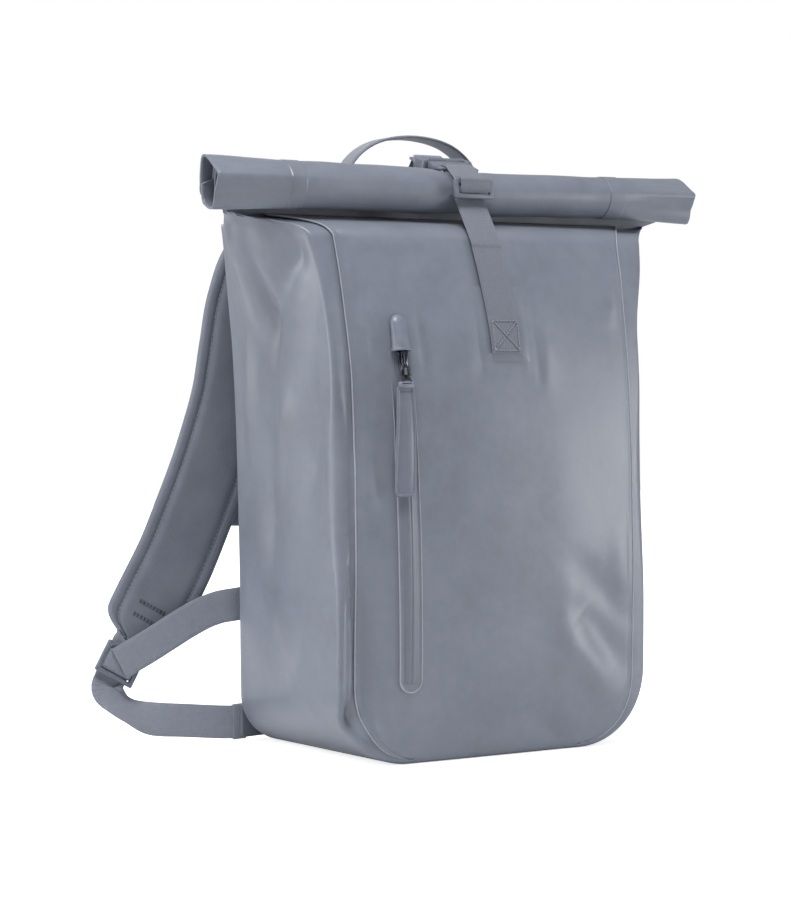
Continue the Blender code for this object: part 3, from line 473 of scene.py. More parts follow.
def both_faces(top):
    return top + [(share, -rise) for share, rise in reversed(top)]


def strap_section(wall):
    """A woven strap's outline: flat, with full rounded selvedges a little thicker than the middle."""
    top = []
    for j in range(15):
        far = abs(j / 14 - 0.5)
        edge = eased((far - 0.40) / 0.07) * (1 - eased((far - 0.47) / 0.03))
        close = sqrt(max(1 - (max(far - 0.47, 0) / 0.03) ** 2, 0.0))
        top.append((j / 14 - 0.5, wall / 2 * (1 + 0.16 * edge) * max(close, 0.25)))
    return both_faces(top)


def stitches(name, runs, pitch, paint, slot):
    """Sewn thread as a row of short rounded stitches. Each run is a list of (place, outward)."""
    points, faces = [], []
    for run in runs:
        far = lengths_along([place for place, _ in run])
        at, k = pitch * 0.5, 0
        while pitch <= far[-1] and at < far[-1]:
            k, share = stretch_at(far, at, k)
            place = run[k][0].lerp(run[k + 1][0], share)
            out = run[k][1].lerp(run[k + 1][1], share).normalized()
            ahead = (run[k + 1][0] - run[k][0]).normalized()
            side = ahead.cross(out).normalized()
            faces += tube_faces(len(points), len(STITCH_SHAPE), 5)
            for along, thick in STITCH_SHAPE:
                middle = place + ahead * along * STITCH_LENGTH + out * THREAD * (0.9 - 3.2 * along ** 2)
                points += [middle + (side * cos(angle) + out * sin(angle)) * THREAD * thick
                           for angle in (2 * pi * n / 5 for n in range(5))]
            at += pitch
    dress(new_piece(name, points, faces), paint, slot)


# Materials

def linear(colour):
    """An sRGB hex colour as linear values."""
    found = []
    for k in (1, 3, 5):
        value = int(colour[k:k + 2], 16) / 255
        found.append(value / 12.92 if value <= 0.04045 else ((value + 0.055) / 1.055) ** 2.4)
    return (*found, 1.0)


def add_node(tree, kind, settings=None, links=None):
    """One node with its settings: attributes by name, sockets by name or number, then its links."""
    made = tree.nodes.new(kind)
    for name, value in (settings or {}).items():
        if isinstance(name, int) or name in made.inputs:
            made.inputs[name].default_value = value
        else:
            setattr(made, name, value)
    for name, source in (links or {}).items():
        tree.links.new(source, made.inputs[name])
    return made


def new_material(name, colour, roughness, **sockets):
    made = bpy.data.materials.new(name)
    made.use_nodes = True
    made.diffuse_color = linear(colour)
    tree = made.node_tree
    shader = tree.nodes["Principled BSDF"]
    shader.inputs["Base Color"].default_value = linear(colour)
    shader.inputs["Roughness"].default_value = roughness
    for socket, value in sockets.items():
        shader.inputs[socket.replace("_", " ")].default_value = value
    place = add_node(tree, "ShaderNodeTexCoord").outputs["Object"]
    return made, tree, shader, place


def ramp_of(tree, source, stops):
    ramp = add_node(tree, "ShaderNodeValToRGB", links={"Fac": source})
    band_of = ramp.color_ramp
    for element, (place, colour) in zip(band_of.elements, (stops[0], stops[-1])):
        element.position, element.color = place, linear(colour)
    for place, colour in stops[1:-1]:
        band_of.elements.new(place).color = linear(colour)
    return ramp.outputs["Color"]


def noise_of(tree, place, scale, detail, roughness=0.5):
    return add_node(tree, "ShaderNodeTexNoise", {"Scale": scale, "Detail": detail, "Roughness": roughness},
                    {"Vector": place}).outputs["Fac"]


def cells_of(tree, place, scale, randomness):
    return add_node(tree, "ShaderNodeTexVoronoi", {"Scale": scale, "Randomness": randomness},
                    {"Vector": place}).outputs["Distance"]


def bands_of(tree, place, direction, pitch):
    """Even bands, pitch metres apart: the wave's own period is 0.314 over its scale."""
    settings = {"wave_type": "BANDS", "bands_direction": direction, "Scale": 0.314 / pitch, "Distortion": 0.0}
    return add_node(tree, "ShaderNodeTexWave", settings, {"Vector": place}).outputs["Fac"]


def mix_of(tree, share, one, two):
    return add_node(tree, "ShaderNodeMix", {"data_type": "FLOAT", 0: share}, {2: one, 3: two}).outputs[0]


def range_of(tree, source, low, high, start, end):
    return add_node(tree, "ShaderNodeMapRange", {"From Min": low, "From Max": high, "To Min": start,
                    "To Max": end}, {"Value": source}).outputs["Result"]


def bump_of(tree, height, strength, distance, below=None):
    links = {"Height": height, "Normal": below} if below else {"Height": height}
    settings = {"Strength": strength, "Distance": distance}
    return add_node(tree, "ShaderNodeBump", settings, links).outputs["Normal"]


def plug(tree, shader, **sources):
    for socket, source in sources.items():
        tree.links.new(source, shader.inputs[socket.replace("_", " ")])


def coated_cloth(name, low, middle, high, roughness):
    """Woven nylon under a smooth rubbery coating, cut and heat welded: broad soft highlights, a
    faint grain of the weave under the coat, and slow changes of tone where it was handled."""
    made, tree, shader, place = new_material(name, middle, roughness, IOR=1.47, Sheen_Weight=0.06,
                                             Sheen_Roughness=0.45, Coat_Weight=0.10, Coat_Roughness=0.32)
    # handling marks about 60 mm across, and a finer mottling of the coat about 9 mm across
    marks = noise_of(tree, place, 17.0, 4.0, 0.55)
    mixed = mix_of(tree, 0.35, marks, noise_of(tree, place, 110.0, 5.0, 0.6))
    # the weave under the coat, threads 0.9 mm apart, over soft waves of the cloth about 20 mm across
    waves = bump_of(tree, noise_of(tree, place, 48.0, 3.0), 0.22, 0.0016)
    plug(tree, shader, Base_Color=ramp_of(tree, mixed, [(0.32, low), (0.50, middle), (0.70, high)]),
         Roughness=range_of(tree, mixed, 0.3, 0.7, roughness - 0.05, roughness + 0.07),
         Normal=bump_of(tree, cells_of(tree, place, 1100.0, 0.55), 0.16, 0.00022, waves))
    return made


# Ribs across the strap and threads along it, both coarser than the real weave so that they show
RIB_PITCH = 0.001395
LENGTHWISE_PITCH = 0.00171


def woven_strap(name, low, high):
    """Nylon webbing, woven on a narrow loom: rows of flat ribs across it with dark gaps between,
    split by lengthwise threads, with a dry soft sheen."""
    made, tree, shader, place = new_material(name, high, 0.72, IOR=1.5, Sheen_Weight=0.25,
                                             Sheen_Roughness=0.5)
    flat = add_node(tree, "ShaderNodeTexCoord").outputs["UV"]
    ribs, lengths = bands_of(tree, flat, "Y", RIB_PITCH), bands_of(tree, flat, "X", LENGTHWISE_PITCH)
    weave = add_node(tree, "ShaderNodeMath", {"operation": "MULTIPLY"}, {0: ribs, 1: lengths}).outputs[0]
    fuzz = noise_of(tree, place, 260.0, 5.0)
    mixed = mix_of(tree, 0.45, weave, fuzz)
    plug(tree, shader, Base_Color=ramp_of(tree, mixed, [(0.12, low), (0.62, high)]),
         Normal=bump_of(tree, fuzz, 0.2, 0.0006, bump_of(tree, weave, 0.34, 0.0004)))
    return made


def padded_cloth(name, low, high):
    """Fine plain-woven polyester over foam: matt and darker than the coated cloth, with a tight
    dry grain and a faint sheen along its bends."""
    made, tree, shader, place = new_material(name, high, 0.66, IOR=1.48, Sheen_Weight=0.22,
                                             Sheen_Roughness=0.4)
    # threads 0.7 mm apart, and handled places about 33 mm across
    grain = cells_of(tree, place, 1350.0, 0.45)
    mixed = mix_of(tree, 0.3, noise_of(tree, place, 30.0, 6.0, 0.6), grain)
    plug(tree, shader, Base_Color=ramp_of(tree, mixed, [(0.25, low), (0.62, high)]),
         Normal=bump_of(tree, grain, 0.4, 0.0003))
    return made


def moulded_nylon(name, low, high, roughness=0.42):
    """Acetal, injection moulded in a lightly spark-textured tool: even colour with a fine grain and
    a soft shine on its rounded edges."""
    made, tree, shader, place = new_material(name, high, roughness, IOR=1.48)
    plug(tree, shader, Base_Color=ramp_of(tree, noise_of(tree, place, 130.0, 3.0), [(0.3, low), (0.7, high)]),
         Normal=bump_of(tree, noise_of(tree, place, 1500.0, 3.0), 0.25, 0.00012))
    return made


def dark_nickel(name):
    """Zinc alloy, die cast and plated in dark nickel: near black, with sharp bright glints and
    small rubbed places."""
    made, tree, shader, place = new_material(name, "#3c4048", 0.2, Metallic=1.0)
    rub = noise_of(tree, place, 170.0, 3.0)
    plug(tree, shader, Base_Color=ramp_of(tree, rub, [(0.35, "#3a3e46"), (0.72, "#888c95")]),
         Roughness=range_of(tree, rub, 0.3, 0.7, 0.14, 0.34))
    return made


def sewing_thread(name, low, high):
    """Bonded polyester thread, twisted: small bright rounded stitches with a dry shine."""
    made, tree, shader, place = new_material(name, high, 0.5, Sheen_Weight=0.3)
    twist = noise_of(tree, place, 1800.0, 2.0)
    plug(tree, shader, Base_Color=ramp_of(tree, twist, [(0.3, low), (0.7, high)]),
         Normal=bump_of(tree, twist, 0.3, 0.0002))
    return made


def studio_floor(name):
    """Matt painted board, rolled: an even pale floor with a hardly seen tooth. It glows to the camera
    alone, more with distance, so that it runs on into the white behind."""
    made, tree, shader, place = new_material(name, "#f4f5f6", 0.85,
                                             Emission_Color=linear("#ffffff"))
    seen = add_node(tree, "ShaderNodeLightPath").outputs["Is Camera Ray"]
    away = add_node(tree, "ShaderNodeVectorMath", {"operation": "LENGTH"}, {0: place}).outputs["Value"]
    level = add_node(tree, "ShaderNodeMath", {"operation": "MULTIPLY"},
                     {0: seen, 1: range_of(tree, away, 0.6, 1.5, 0.75, 1.0)}).outputs[0]
    tooth = noise_of(tree, place, 40.0, 3.0)
    plug(tree, shader, Emission_Strength=level,
         Base_Color=ramp_of(tree, tooth, [(0.3, "#f2f3f5"), (0.7, "#f7f8f9")]))
    return made


COATED = coated_cloth("coated_nylon_welded", "#666b77", "#6d737f", "#747985", 0.41)
PATCH = coated_cloth("coated_nylon_patch", "#676c78", "#6d737f", "#747985", 0.40)
TAPE = coated_cloth("coated_zip_tape", "#5d626e", "#646a76", "#6b707c", 0.42)
TAB = coated_cloth("coated_pull_tab", "#5d626f", "#646a77", "#6b717e", 0.44)
MOULDED_CAP = moulded_nylon("moulded_rubber_cap", "#686e7b", "#757b88", 0.36)
WEBBING = woven_strap("nylon_webbing_woven", "#737884", "#858a96")
# painted shade: the same webbing painted darker, for the front strap and the handle, to darken them beyond
# what the lamps give
WEBBING_PAINTED_SHADE = woven_strap("nylon_webbing_painted_shade", "#5b606c", "#696e7a")
PAD = padded_cloth("polyester_over_foam", "#575c68", "#676c78")
# partly painted highlight: a paler copy of the coated cloth for the welds' raised cut edges, standing partly
# for their own paler edge and partly for the light that they catch
CUT_EDGE_AND_HIGHLIGHT = coated_cloth("coated_nylon_cut_edge_and_painted_highlight", "#858a96", "#8e939f", "#989da8", 0.40)
PLASTIC = moulded_nylon("acetal_moulded", "#5f6571", "#6a707c")
METAL = dark_nickel("zinc_dark_nickel")
THREAD_PAINT = sewing_thread("polyester_thread", "#6d7380", "#8b919d")
DARK_THREAD = sewing_thread("polyester_thread_dark", "#3a3f4b", "#4c515d")


# The body: front, side and back

# How far the front and back reach past the welds, and the cloths past each other at the neck
WELD_LAP = 0.0006
NECK_LAP = 0.002
BACK_ROUND = 0.014
SIDE_STRANDS = 44

# How round the fold is between side and front: crisp under the roll and low down, softer between
EDGE_ROUNDS = (
    # height, radius
    (0.000, 0.0045),
    (0.110, 0.0045),
    (0.170, 0.0110),
    (0.225, 0.0120),
    (0.285, 0.0050),
    (0.389, 0.0030),
)


def edge_radius(height):
    return read_table(EDGE_ROUNDS, height)[0]


def seam_inset(bend):
    """How far in from the edge the front's weld runs: it drops to the bottom edge round the corner."""
    return FLANGE - WELD_LAP - (FLANGE - 0.0051) * eased(bend)


def station(run, share, corner):
    if run == "side":
        height = SHOULDER_HEIGHT - (SHOULDER_HEIGHT - corner) * share
        return Vector((-HALF_WIDTH, 0, height)), Vector((1, 0, 0))
    if run == "bend":
        outward = Vector((-cos(pi / 2 * share), 0, -sin(pi / 2 * share)))
        return Vector((corner - HALF_WIDTH, 0, corner)) + outward * corner, -outward
    return Vector(((corner - HALF_WIDTH) * (1 - share), 0, 0)), Vector((0, 0, 1))


def gusset_row(run, share, side):
    """One row round from under the front panel's edge, across the side, to under the back panel."""
    front, front_in = station(run, share, FRONT_CORNER)
    back, back_in = station(run, share, BACK_CORNER)
    flare = 1 - share if run == "base" else 1.0
    front.x += (HALF_WIDTH - front_half(front.z)) * flare
    back.x += (HALF_WIDTH - back_half(back.z)) * flare
    y_back = back_edge_y(back.z)
    radius = edge_radius(front.z)
    row = []
    bend = 0.0 if run == "side" else 1.0 if run == "base" else share
    lap = seam_inset(bend) + 0.0046
    for step in range(7):
        depth_in = lap + (radius - lap) * step / 6
        at = front + front_in * depth_in
        sunk = CLOTH_WALL * (1 - eased((lap - depth_in) / 0.0035))
        row.append(Vector((at.x, front_y(side * -at.x, at.z) + sunk, at.z)))
    start = row[-1].y
    for step in range(1, 9):
        angle = pi / 2 * step / 8
        at = front + front_in * radius * (1 - sin(angle))
        row.append(Vector((at.x, start + radius * (1 - cos(angle)), at.z)))
    first = row[-1]
    last = Vector((back.x, y_back - BACK_ROUND, back.z))
    for j in range(1, SIDE_STRANDS):
        along = j / SIDE_STRANDS
        at = first.lerp(last, along)
        if run != "base":
            fade = eased((1 - share) * 4) if run == "side" else 0.0
            calm = eased(along / 0.10) * eased((1 - along) / 0.12)
            hump = 4 * along * (1 - along)
            bow = SIDE_BOW * hump - dent(SIDE_DENTS, along, at.z / SHOULDER_HEIGHT) * min(1.0, 2 * hump)
            at.x -= bow * fade
            wave = folds(SIDE_FOLDS, at.y, at.z) + ripple(side * 0.2, at.y, at.z, 0.05, 0.0014)
            at.x -= wave * calm * (1.0 if run == "side" else 1 - share)
        row.append(at)
    row.append(last)
    for step in range(1, 9):
        angle = pi / 2 * (1 - step / 8)
        at = back + back_in * BACK_ROUND * (1 - sin(angle))
        row.append(Vector((at.x, y_back - BACK_ROUND * (1 - cos(angle)), at.z)))
    for depth_in in (FLANGE, FLANGE + 0.004):
        at = back + back_in * depth_in
        row.append(Vector((at.x, y_back - CLOTH_WALL, at.z)))
    return row


ROOF = ((0.00, 0.00), (0.05, 0.20), (0.12, 0.38), (0.22, 0.52), (0.34, 0.63), (0.50, 0.74), (0.66, 0.83),
        (0.80, 0.89), (0.92, 0.94), (1.00, 1.00))


def roof_rows(shoulder, goals):
    return [[Vector((point.x + (x - point.x) * inward, point.y + (y - point.y) * inward,
                     point.z + (NECK_HEIGHT - drop - point.z) * upward))
             for point, (x, y, drop) in zip(shoulder, goals)] for inward, upward in ROOF[1:]]


def gusset_goals(shoulder, side):
    """Where each strand of the side ends at the neck: the side closes to a flat ear."""
    mouth = NECK_GAP / 2 + NECK_LAP
    ear = NECK_WIDTH / 2
    inner = ear - FLANGE - 0.014
    turns = [pi * j / (len(shoulder) - 1) for j in range(len(shoulder))]
    return [(side * (inner + (ear - inner) * sin(turn)), NECK_BACK - mouth * cos(turn),
             0.0024 - 0.0048 * sin(turn) ** 4) for turn in turns]


def half_gusset(side, base_rows):
    rows = [gusset_row("side", i / 110, side) for i in range(111)]
    rows += [gusset_row("bend", i / 26, side) for i in range(1, 27)]
    return rows + [gusset_row("base", i / 5, side) for i in range(1, base_rows)]


def make_gusset():
    left = half_gusset(-1, 5)
    right = [[Vector((-p.x, p.y, p.z)) for p in row] for row in reversed(half_gusset(1, 6))]
    rows = [[lifted(p) for p in row] for row in left + right]
    rows = (roof_rows(rows[0], gusset_goals(rows[0], -1))[::-1] + rows
            + roof_rows(rows[-1], gusset_goals(rows[-1], 1)))
    sheet_piece("side_gusset_cloth", "side_gusset", rows, CLOTH_WALL, COATED, "coated_cloth",
                sharp=HARD_EDGE)


def seam_half(height, half_at, corner, inset):
    if height >= corner:
        return half_at(height) - inset
    radius = corner - inset
    drop = corner - height
    return half_at(height) - corner + sqrt(max(radius**2 - drop**2, 0.0))


def panel_heights(corner, inset, bends, straights):
    bend = [corner - (corner - inset) * cos(pi / 2 * i / bends) for i in range(bends + 1)]
    return bend + [corner + (SHOULDER_HEIGHT - corner) * i / straights for i in range(1, straights + 1)]


def front_seam():
    """Heights and half widths of the front's cut edge, from the bottom up."""
    found = []
    for i in range(41):
        bend = 1 - i / 40
        reach = FRONT_CORNER - seam_inset(bend)
        height = FRONT_CORNER - reach * sin(pi / 2 * bend)
        found.append((height, front_half(height) - FRONT_CORNER + reach * cos(pi / 2 * bend)))
    for i in range(1, 181):
        height = FRONT_CORNER + (SHOULDER_HEIGHT - FRONT_CORNER) * i / 180
        found.append((height, front_half(height) - seam_inset(0.0)))
    return found


def panel_goals(columns, way, y):
    """Where each strand of a panel ends at the neck, left to right for way 1 and back for -1."""
    reach = NECK_WIDTH / 2 - FLANGE - 0.016
    return [(reach * (way * (2 * j / columns - 1)), y, 0.0) for j in range(columns + 1)]


def make_front():
    columns = 170
    rows = []
    for height, half in front_seam():
        row = []
        for j in range(columns + 1):
            x = half * (2 * j / columns - 1)
            # the cut edge lies on the side's flange, and the weld presses a shallow track inside it
            track = 0.0004 * exp(-((half - abs(x) - 0.0042) / 0.0012) ** 2)
            row.append(lifted(Vector((x, front_y(x, height) - 0.0012 + track, height))))
        rows.append(row)
    rows += roof_rows(rows[-1], panel_goals(columns, 1, NECK_BACK - NECK_GAP / 2 - NECK_LAP))
    sheet_piece("front_panel_cloth", "front_panel", rows, CLOTH_WALL, COATED, "coated_cloth")
    make_weld_bead(rows)


def bead(name, centres, sides, width, rise):
    """A thin paler line of coat, rolled over a cut edge by the weld. Its paleness is partly a painted
    highlight, for the light that the raised edge catches.
    """
    section = [(0.5 * cos(pi * k / 4), rise * sin(pi * k / 4)) for k in range(8)]
    dress(band(name, centres, sides, width, section), CUT_EDGE_AND_HIGHLIGHT, "coated_cloth")


def make_weld_bead(rows):
    """The front's cut edge, down both sides and over the roof."""
    for word, edge, within in (("left", 0, 3), ("right", -1, -4)):
        centres = [row[edge] for row in rows]
        bead(f"front_weld_bead_{word}", centres, [row[within] - row[edge] for row in rows], 0.0013, 0.0006)


def make_back():
    inset = FLANGE - WELD_LAP
    columns = 90
    rows = []
    for height in panel_heights(BACK_CORNER, inset, 18, 110):
        half = seam_half(height, back_half, BACK_CORNER, inset)
        row = []
        for j in range(columns + 1):
            x = half * (1 - 2 * j / columns)
            # two padded columns with a spine channel between them, for the wearer's back
            column = min(abs(abs(x) - 0.055) / 0.045, 1.0)
            tall = eased((height - 0.03) / 0.03) * eased((0.285 - height) / 0.03)
            channel = 0.0018 * eased((column - 0.72) / 0.28) * tall
            row.append(lifted(Vector((x, back_edge_y(height) + 0.0002 - channel, height))))
        rows.append(row)
    rows += roof_rows(rows[-1], panel_goals(columns, -1, NECK_BACK + NECK_GAP / 2 + NECK_LAP))
    sheet_piece("back_panel_cloth", "back_panel", rows, CLOTH_WALL, COATED, "coated_cloth")


# The rolled top

ROLL_PITCH = 0.0046
ROLL_WALL = 0.0015
ROLL_TURNS = 2.75
ROWS_A_TURN = 60

# The roll's end seen along its axis: direction in degrees, forwards 180, and distance as a share
# of the roll's radius
END_SHAPE = (
    # direction, reach
    (-23, 0.80),
    (0, 0.80),
    (35, 0.92),
    (60, 1.16),
    (72, 1.06),
    (90, 0.88),
    (119, 0.76),
    (145, 0.84),
    (161, 0.99),
    (169, 1.04),
    (178, 0.98),
    (213, 0.86),
    (236, 1.10),
    (247, 1.20),
    (260, 1.13),
    (283, 1.02),
    (306, 1.00),
    (337, 0.80),
    (360, 0.80),
    (395, 0.92),
)


# The two welded bands round the roll, from x to x
ROLL_SEAMS = ((-0.1521, -0.1406), (0.1296, 0.1440))


def roll_place(turn, x):
    """A point of the rolled cloth. The ends are pinched to a flat-sided shape with a keel in front."""
    angle = 2 * pi * turn
    inner = eased((turn - 0.80) / 1.1)
    hollow = 0.0020 * eased((turn - 0.85) / 0.25)
    radius = ROLL_RADIUS - ROLL_WALL / 2 - ROLL_PITCH * max(0.0, turn - 0.33) * 0.86 - hollow
    depth, height, lift = read_table(ROLL_SECTIONS, x / ROLL_LENGTH + 0.5)
    pinched = 1 - eased((ROLL_LENGTH / 2 - abs(x)) / 0.095)
    turned = angle % (2 * pi)
    shaped = read_table(END_SHAPE, turned * 180 / pi)[0]
    radius *= 1 + (shaped - 1) * pinched * (1 - 0.35 * inner)
    squash = 1 - 0.50 * inner
    shift = 0.0028 * inner * pinched
    y = ROLL_Y + radius * cos(angle) * depth * squash + shift
    along = x * (1 - 0.040 * eased((turn - 0.985) / 0.06))
    z = ROLL_Z + radius * sin(angle) * height * (1 - 0.04 * inner) + lift * ROLL_RADIUS
    # one slow wave of the rolled cloth and a crease that runs in from each end along the keel
    outer = 1 - inner
    wave = ripple(x, 0.9, turned * 0.012, 0.034, 0.0011) * outer
    keel = exp(-((turned - 2.93) / 0.13) ** 2) * exp(-((ROLL_LENGTH / 2 - abs(x)) / 0.060)) * 0.0012 * outer
    seam = 0.0
    for low, high in ROLL_SEAMS:
        if low - 0.002 < x < high + 0.002:
            seam = 0.0005 * eased((x - low) / 0.0009 + 0.5) * eased((high - x) / 0.0009 + 0.5) * outer
    sink = -0.0012 * exp(-((x - STRAP_X - STRAP_DRIFT) / 0.020) ** 4) * outer
    push = wave + keel + seam + sink
    return Vector((along, y + cos(angle) * push, z + sin(angle) * push))


def make_roll():
    places = [ROLL_LENGTH * (0.5 - j / 210) for j in range(211)]
    for edge in ROLL_SEAMS[0] + ROLL_SEAMS[1]:
        places += [edge + step for step in (-0.0012, -0.0007, -0.0003, 0.0003, 0.0007, 0.0012)]
    places.sort(reverse=True)
    rows = []
    for i in range(10):
        share = i / 10
        row = []
        for place in places:
            x = place * (1 - (1 - (NECK_WIDTH - 0.034) / ROLL_LENGTH) * (1 - eased(share)) ** 2.2)
            top = roll_place(0.0, x)
            row.append(Vector((x, NECK_BACK + (top.y - NECK_BACK) * eased(share),
                               NECK_HEIGHT - 0.0070 + (top.z - NECK_HEIGHT + 0.0070) * share)))
        rows.append(row)
    count = int(ROWS_A_TURN * ROLL_TURNS)
    rows += [[roll_place(ROLL_TURNS * i / count, x) for x in places] for i in range(count + 1)]
    sheet_piece("rolled_top_cloth", "rolled_top", rows, ROLL_WALL, COATED, "coated_cloth",
                offset=0.0)


# The zip

# The zip leans this much over its length, and stands this far right of the solids' line
ZIP_LEAN = -0.0035
ZIP_SHIFT = 0.0012
SLIDER_HEIGHT = 0.2975
HOOD_LENGTH = 0.027


def zip_x(height):
    return ZIP_X + ZIP_SHIFT + ZIP_LEAN * (height - ZIP_FOOT) / (ZIP_TOP - ZIP_FOOT)


def on_zip(across, height, proud):
    """A place on the front beside the zip's own line, which leans a little."""
    return on_front(zip_x(height) + across, height, proud)


def surround_relief(inside, height):
    """A thin welded rim round a flat sunk bed; it sinks into the front beside the hood."""
    near_hood = eased((height - 0.262) / 0.030)
    rim = 0.0007 * eased(inside / 0.0005) * (1 - eased((inside - 0.0012) / 0.0008))
    return 0.0014 + (rim + 0.0002) * (1 - near_hood) - 0.0005 * near_hood


def tape_relief(across):
    """Two flat lips that meet in a fine groove."""
    groove = exp(-(across / 0.0004) ** 2)
    lip = eased((0.0038 - abs(across)) / 0.0018)
    return 0.0019 + 0.0004 * lip - 0.0007 * groove


def make_zip():
    """A round-ended patch with a welded rim, and the tape's two lips on it."""
    half, length = 0.0092, ZIP_TOP - ZIP_FOOT

    def patch(share, part):
        height = ZIP_FOOT + length * share
        beyond = max(ZIP_FOOT + half - height, height - (ZIP_TOP - half), 0.0)
        wide = sqrt(max(half * half - beyond * beyond, (0.06 * half) ** 2))
        across = wide * (2 * part - 1)
        return on_zip(across, height, surround_relief(half - hypot(across, beyond), height))

    def tape(share, part):
        across = 0.0047 * (2 * part - 1)
        return on_zip(across, ZIP_FOOT + 0.0072 + (length - 0.0172) * share, tape_relief(across))

    sheet_piece("zip_surround_cloth", "zip_surround", grid(260, 30, patch), 0.0010, PATCH, "coated_cloth")
    sheet_piece("zip_tape_cloth", "zip_tape", grid(220, 24, tape), 0.0004, TAPE, "zip_tape")
    make_surround_bead()
    make_hood()
    make_slider()
    make_pull_tab()


def make_surround_bead():
    """The patch's cut edge: down, round the foot and up, sinking in towards the hood."""
    half, foot, head = 0.0085, ZIP_FOOT + 0.0007, 0.2800
    turn = foot + half
    outline = [(-half, head + (turn - head) * i / 70) for i in range(70)]
    outline += [(-half * cos(pi * i / 24), turn - half * sin(pi * i / 24)) for i in range(25)]
    outline += [(half, turn + (head - turn) * i / 70) for i in range(1, 71)]
    centres = []
    for across, height in outline:
        sunk = 0.0006 * eased((height - 0.230) / 0.045)
        centres.append(on_zip(across, height, surround_relief(0.0008, height) - sunk))
    bead("zip_surround_bead", centres, crosswise(centres, Vector((0, -1, 0))), 0.0009, 0.0004)


def make_hood():
    """The moulded cap over the zip's parking place: a rounded arch with a soft lip at its mouth."""
    def point(share, part):
        closing = sqrt(max(1 - max(share - 0.70, 0) ** 2 / 0.30**2, 0.0))
        rise = (0.0072 - 0.0022 * share) * closing + 0.0005 * exp(-(share / 0.05) ** 2)
        half = (0.0064 + 0.0012 * exp(-share / 0.15)) * max(closing, 0.12)
        proud = 0.0021 + rise * sin(pi * part) ** 0.60
        return on_zip(-half * cos(pi * part), ZIP_TOP - HOOD_LENGTH * (1 - share), proud)

    dress(cloth("zip_hood_cap", grid(36, 30, point), 0.0010), MOULDED_CAP, "moulded_cloth", "zip_hood")


def block(size, centre=(0, 0, 0)):
    bpy.ops.object.select_all(action="DESELECT")
    bpy.ops.mesh.primitive_cube_add(size=1.0, location=(0, 0, 0))
    piece = bpy.context.active_object
    piece.data.transform(Matrix.Translation(centre) @ Matrix.Diagonal((*size, 1.0)))
    return piece


def soften(piece, width, segments=2):
    """Rounds the hard edges, as the tool leaves them."""
    edges = piece.modifiers.new("edges", "BEVEL")
    edges.width, edges.segments = width, segments
    edges.limit_method, edges.angle_limit = "ANGLE", HARD_EDGE
    apply_all(piece)


def hard_piece(name, size, bevel, segments=3, centre=(0, 0, 0)):
    """A block cut to size with rounded edges."""
    piece = block(size, centre)
    piece.name = piece.data.name = name
    soften(piece, bevel, segments)
    return piece


def dress_hard(piece, paint, slot, *nodes):
    dress(piece, paint, slot, *nodes, sharp=HARD_EDGE)


def cut_away(piece, size, centre):
    """Cuts a block out of the piece, in the piece's own space."""
    cutter = block(size, centre)
    boolean = piece.modifiers.new("cut", "BOOLEAN")
    boolean.operation, boolean.solver, boolean.object = "DIFFERENCE", "EXACT", cutter
    apply_all(piece)
    bpy.data.objects.remove(cutter, do_unlink=True)


def lay_on_zip(piece, beside, height, proud):
    """Turns a piece so that its X lies across the front, Y up it and Z out of it, and puts it there."""
    x = zip_x(height) + beside
    out = front_normal(x, height)
    across = Vector((1, 0, 0))
    across = (across - out * across.dot(out)).normalized()
    turn = Matrix((across, out.cross(across).normalized(), out)).transposed().to_4x4()
    turn.translation = on_front(x, height, proud)
    piece.data.transform(turn)


def taper(piece, share, end):
    """Narrows the upper end of the piece (1) or its lower end (-1)."""
    for vertex in piece.data.vertices:
        if vertex.co.y * end > 0:
            vertex.co.x *= share


def join(name, pieces):
    bpy.ops.object.select_all(action="DESELECT")
    for piece in pieces:
        piece.select_set(True)
    bpy.context.view_layer.objects.active = pieces[0]
    bpy.ops.object.join()
    pieces[0].name = pieces[0].data.name = name
    return pieces[0]


def make_slider():
    body = hard_piece("zip_slider_body", (0.0088, 0.0125, 0.0018), 0.0007)
    taper(body, 0.80, -1)
    nose = hard_piece("nose", (0.0048, 0.0115, 0.0018), 0.0007, centre=(0, 0.0004, 0.0017))
    bridge = hard_piece("bridge", (0.0026, 0.0085, 0.0030), 0.0009, centre=(0, -0.0006, 0.0030))
    cut_away(bridge, (0.004, 0.0044, 0.0016), (0, -0.0006, 0.0026))
    slider = join("zip_slider_metal", [body, nose, bridge])
    lay_on_zip(slider, 0.0, SLIDER_HEIGHT, 0.0046)
    dress_hard(slider, METAL, "dark_metal", "zip_slider")
    # the puller: a plate that widens downwards, with a window for the bridge, and the tab's crimp on it
    puller = hard_piece("zip_puller_metal", (0.0110, 0.0150, 0.0014), 0.0005)
    taper(puller, 0.66, 1)
    cut_away(puller, (0.0038, 0.0052, 0.004), (0, 0.0032, 0))
    cut_away(puller, (0.0074, 0.0016, 0.004), (0, -0.0042, 0))
    low = SLIDER_HEIGHT - 0.0128
    lay_on_zip(puller, 0.0, low, 0.0068)
    dress_hard(puller, METAL, "dark_metal", "zip_puller")
    crimp = hard_piece("puller_crimp", (0.0122, 0.0048, 0.0038), 0.0011)
    cut_away(crimp, (0.0074, 0.0008, 0.0020), (0, 0.0008, 0.0020))
    lay_on_zip(crimp, -0.0004, low - 0.0066, 0.0062)
    dress_hard(crimp, MOULDED_CAP, "moulded_cloth")


